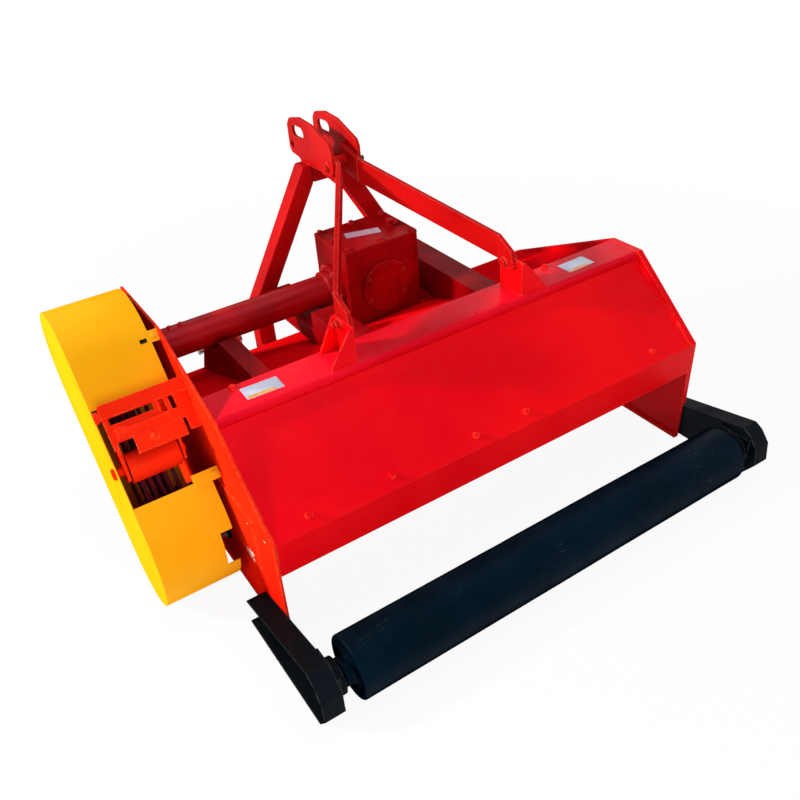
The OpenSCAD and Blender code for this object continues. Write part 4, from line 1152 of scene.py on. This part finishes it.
# Input shaft and the lower hitch pins
ptoLow, ptoHigh = cornersOf("pto_shaft")
ptoSet = {"radius": 17.5, "root": 14.2, "splines": 6, "sharp": 3.0, "lean": 0.4, "around": 96,
          "collar": 25.5, "collarLong": 8, "gap": 0.5, "smooth": 3, "fadeIn": 8, "chamfer": (3, 4)}


# a turned shaft whose radius swings between root and crest by a clipped cosine, six times round
def makeSplines(s):
    wave = np.clip(np.cos(s["splines"] * circle(s["around"])) * s["sharp"] + s["lean"], -1, 1)
    tooth = s["root"] + (s["radius"] - s["root"]) * (wave + 1) / 2
    long = ptoHigh[1] - ptoLow[1]
    rear = gearSet["frontFace"] + s["gap"] - ptoLow[1]
    front, collar = rear + s["collarLong"], s["collar"]
    narrow, back = s["chamfer"]
    rows = [(s["radius"], s["gap"]), (s["radius"], rear), (collar - 1, rear), (collar, rear + 1),
            (collar, front - 1), (collar - 1, front), (s["radius"], front),
            (s["radius"], front + s["smooth"]), (tooth, front + s["fadeIn"]),
            (tooth, long - back), (tooth - narrow, long)]
    return placed(lathe(rows, s["around"]), spot(0, ptoLow[1], (ptoLow[2] + ptoHigh[2]) / 2), frontward)


splines = addPiece("inputSplines", [makeSplines(ptoSet)], "bareSteel", "pto_input", sharp=25)
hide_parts("pto_shaft")

hitchSet = {"bead": 3.0, "face": 400.5, "pinWeld": 22.5, "plates": (384, 400), "front": 971, "z": (266, 338)}
pinY, pinZ = middleOf("hitch_pins")[1:]
pinSeams = [circlePath(spot(side * hitchSet["face"], pinY, pinZ), (side, 0, 0), hitchSet["pinWeld"], 36)
            for side in sides]
pinSeams += seams([[(side * x, hitchSet["front"], z) for z in hitchSet["z"]]
                   for side in sides for x in hitchSet["plates"]])
addWelds("pinWelds", hitchSet["bead"], pinSeams, "redBar")
print("input shaft and hitch dressed")

floorSet = {"half": 40.0, "under": 0.0005, "grey": (0.82, 0.82, 0.82, 1), "own": 0.93, "fade": (1.7, 3.4)}


# white where the camera sees it, with a share of the matte floor's shadow near the machine; clear from below
def makeFloor(s):
    z, h = float(cadBox[0][2]) - s["under"], s["half"]
    mesh = bpy.data.meshes.new("floor")
    mesh.from_pydata([(-h, -h, z), (h, -h, z), (h, h, z), (-h, h, z)], [], [(0, 1, 2, 3)])
    floor = bpy.data.objects.new("floor", mesh)
    bpy.context.scene.collection.objects.link(floor)
    material = bpy.data.materials.new("floorWhite")
    material.use_nodes = True
    tree = material.node_tree
    tree.nodes.clear()
    matte = addNode(tree, "ShaderNodeBsdfDiffuse", {"Color": s["grey"]}).outputs[0]
    white = addNode(tree, "ShaderNodeEmission", {"Color": (1, 1, 1, 1), "Strength": 1.0}).outputs[0]
    away = vectorMaths(tree, "LENGTH", {0: objectPoint(tree)})["Value"]
    share = maths(tree, "ADD", times(tree, ramp(tree, away, *s["fade"]), 1 - s["own"]), s["own"])
    seen = times(tree, share, seenDirectly(tree))
    above = addNode(tree, "ShaderNodeMixShader", {0: seen, 1: matte, 2: white})
    below = addNode(tree, "ShaderNodeNewGeometry").outputs["Backfacing"]
    camera = addNode(tree, "ShaderNodeLightPath").outputs["Is Camera Ray"]
    clear = addNode(tree, "ShaderNodeBsdfTransparent").outputs[0]
    mix = addNode(tree, "ShaderNodeMixShader", {0: times(tree, below, camera), 1: above.outputs[0], 2: clear})
    addNode(tree, "ShaderNodeOutputMaterial", {"Surface": mix.outputs[0]})
    mesh.materials.append(material)


makeCamera(cameraSet)
makeLamps(lampSet)
makeWorld(worldSet)
makeFloor(floorSet)
bpy.context.scene.view_settings.view_transform = "Standard"
print("camera, lamps, world and floor set")
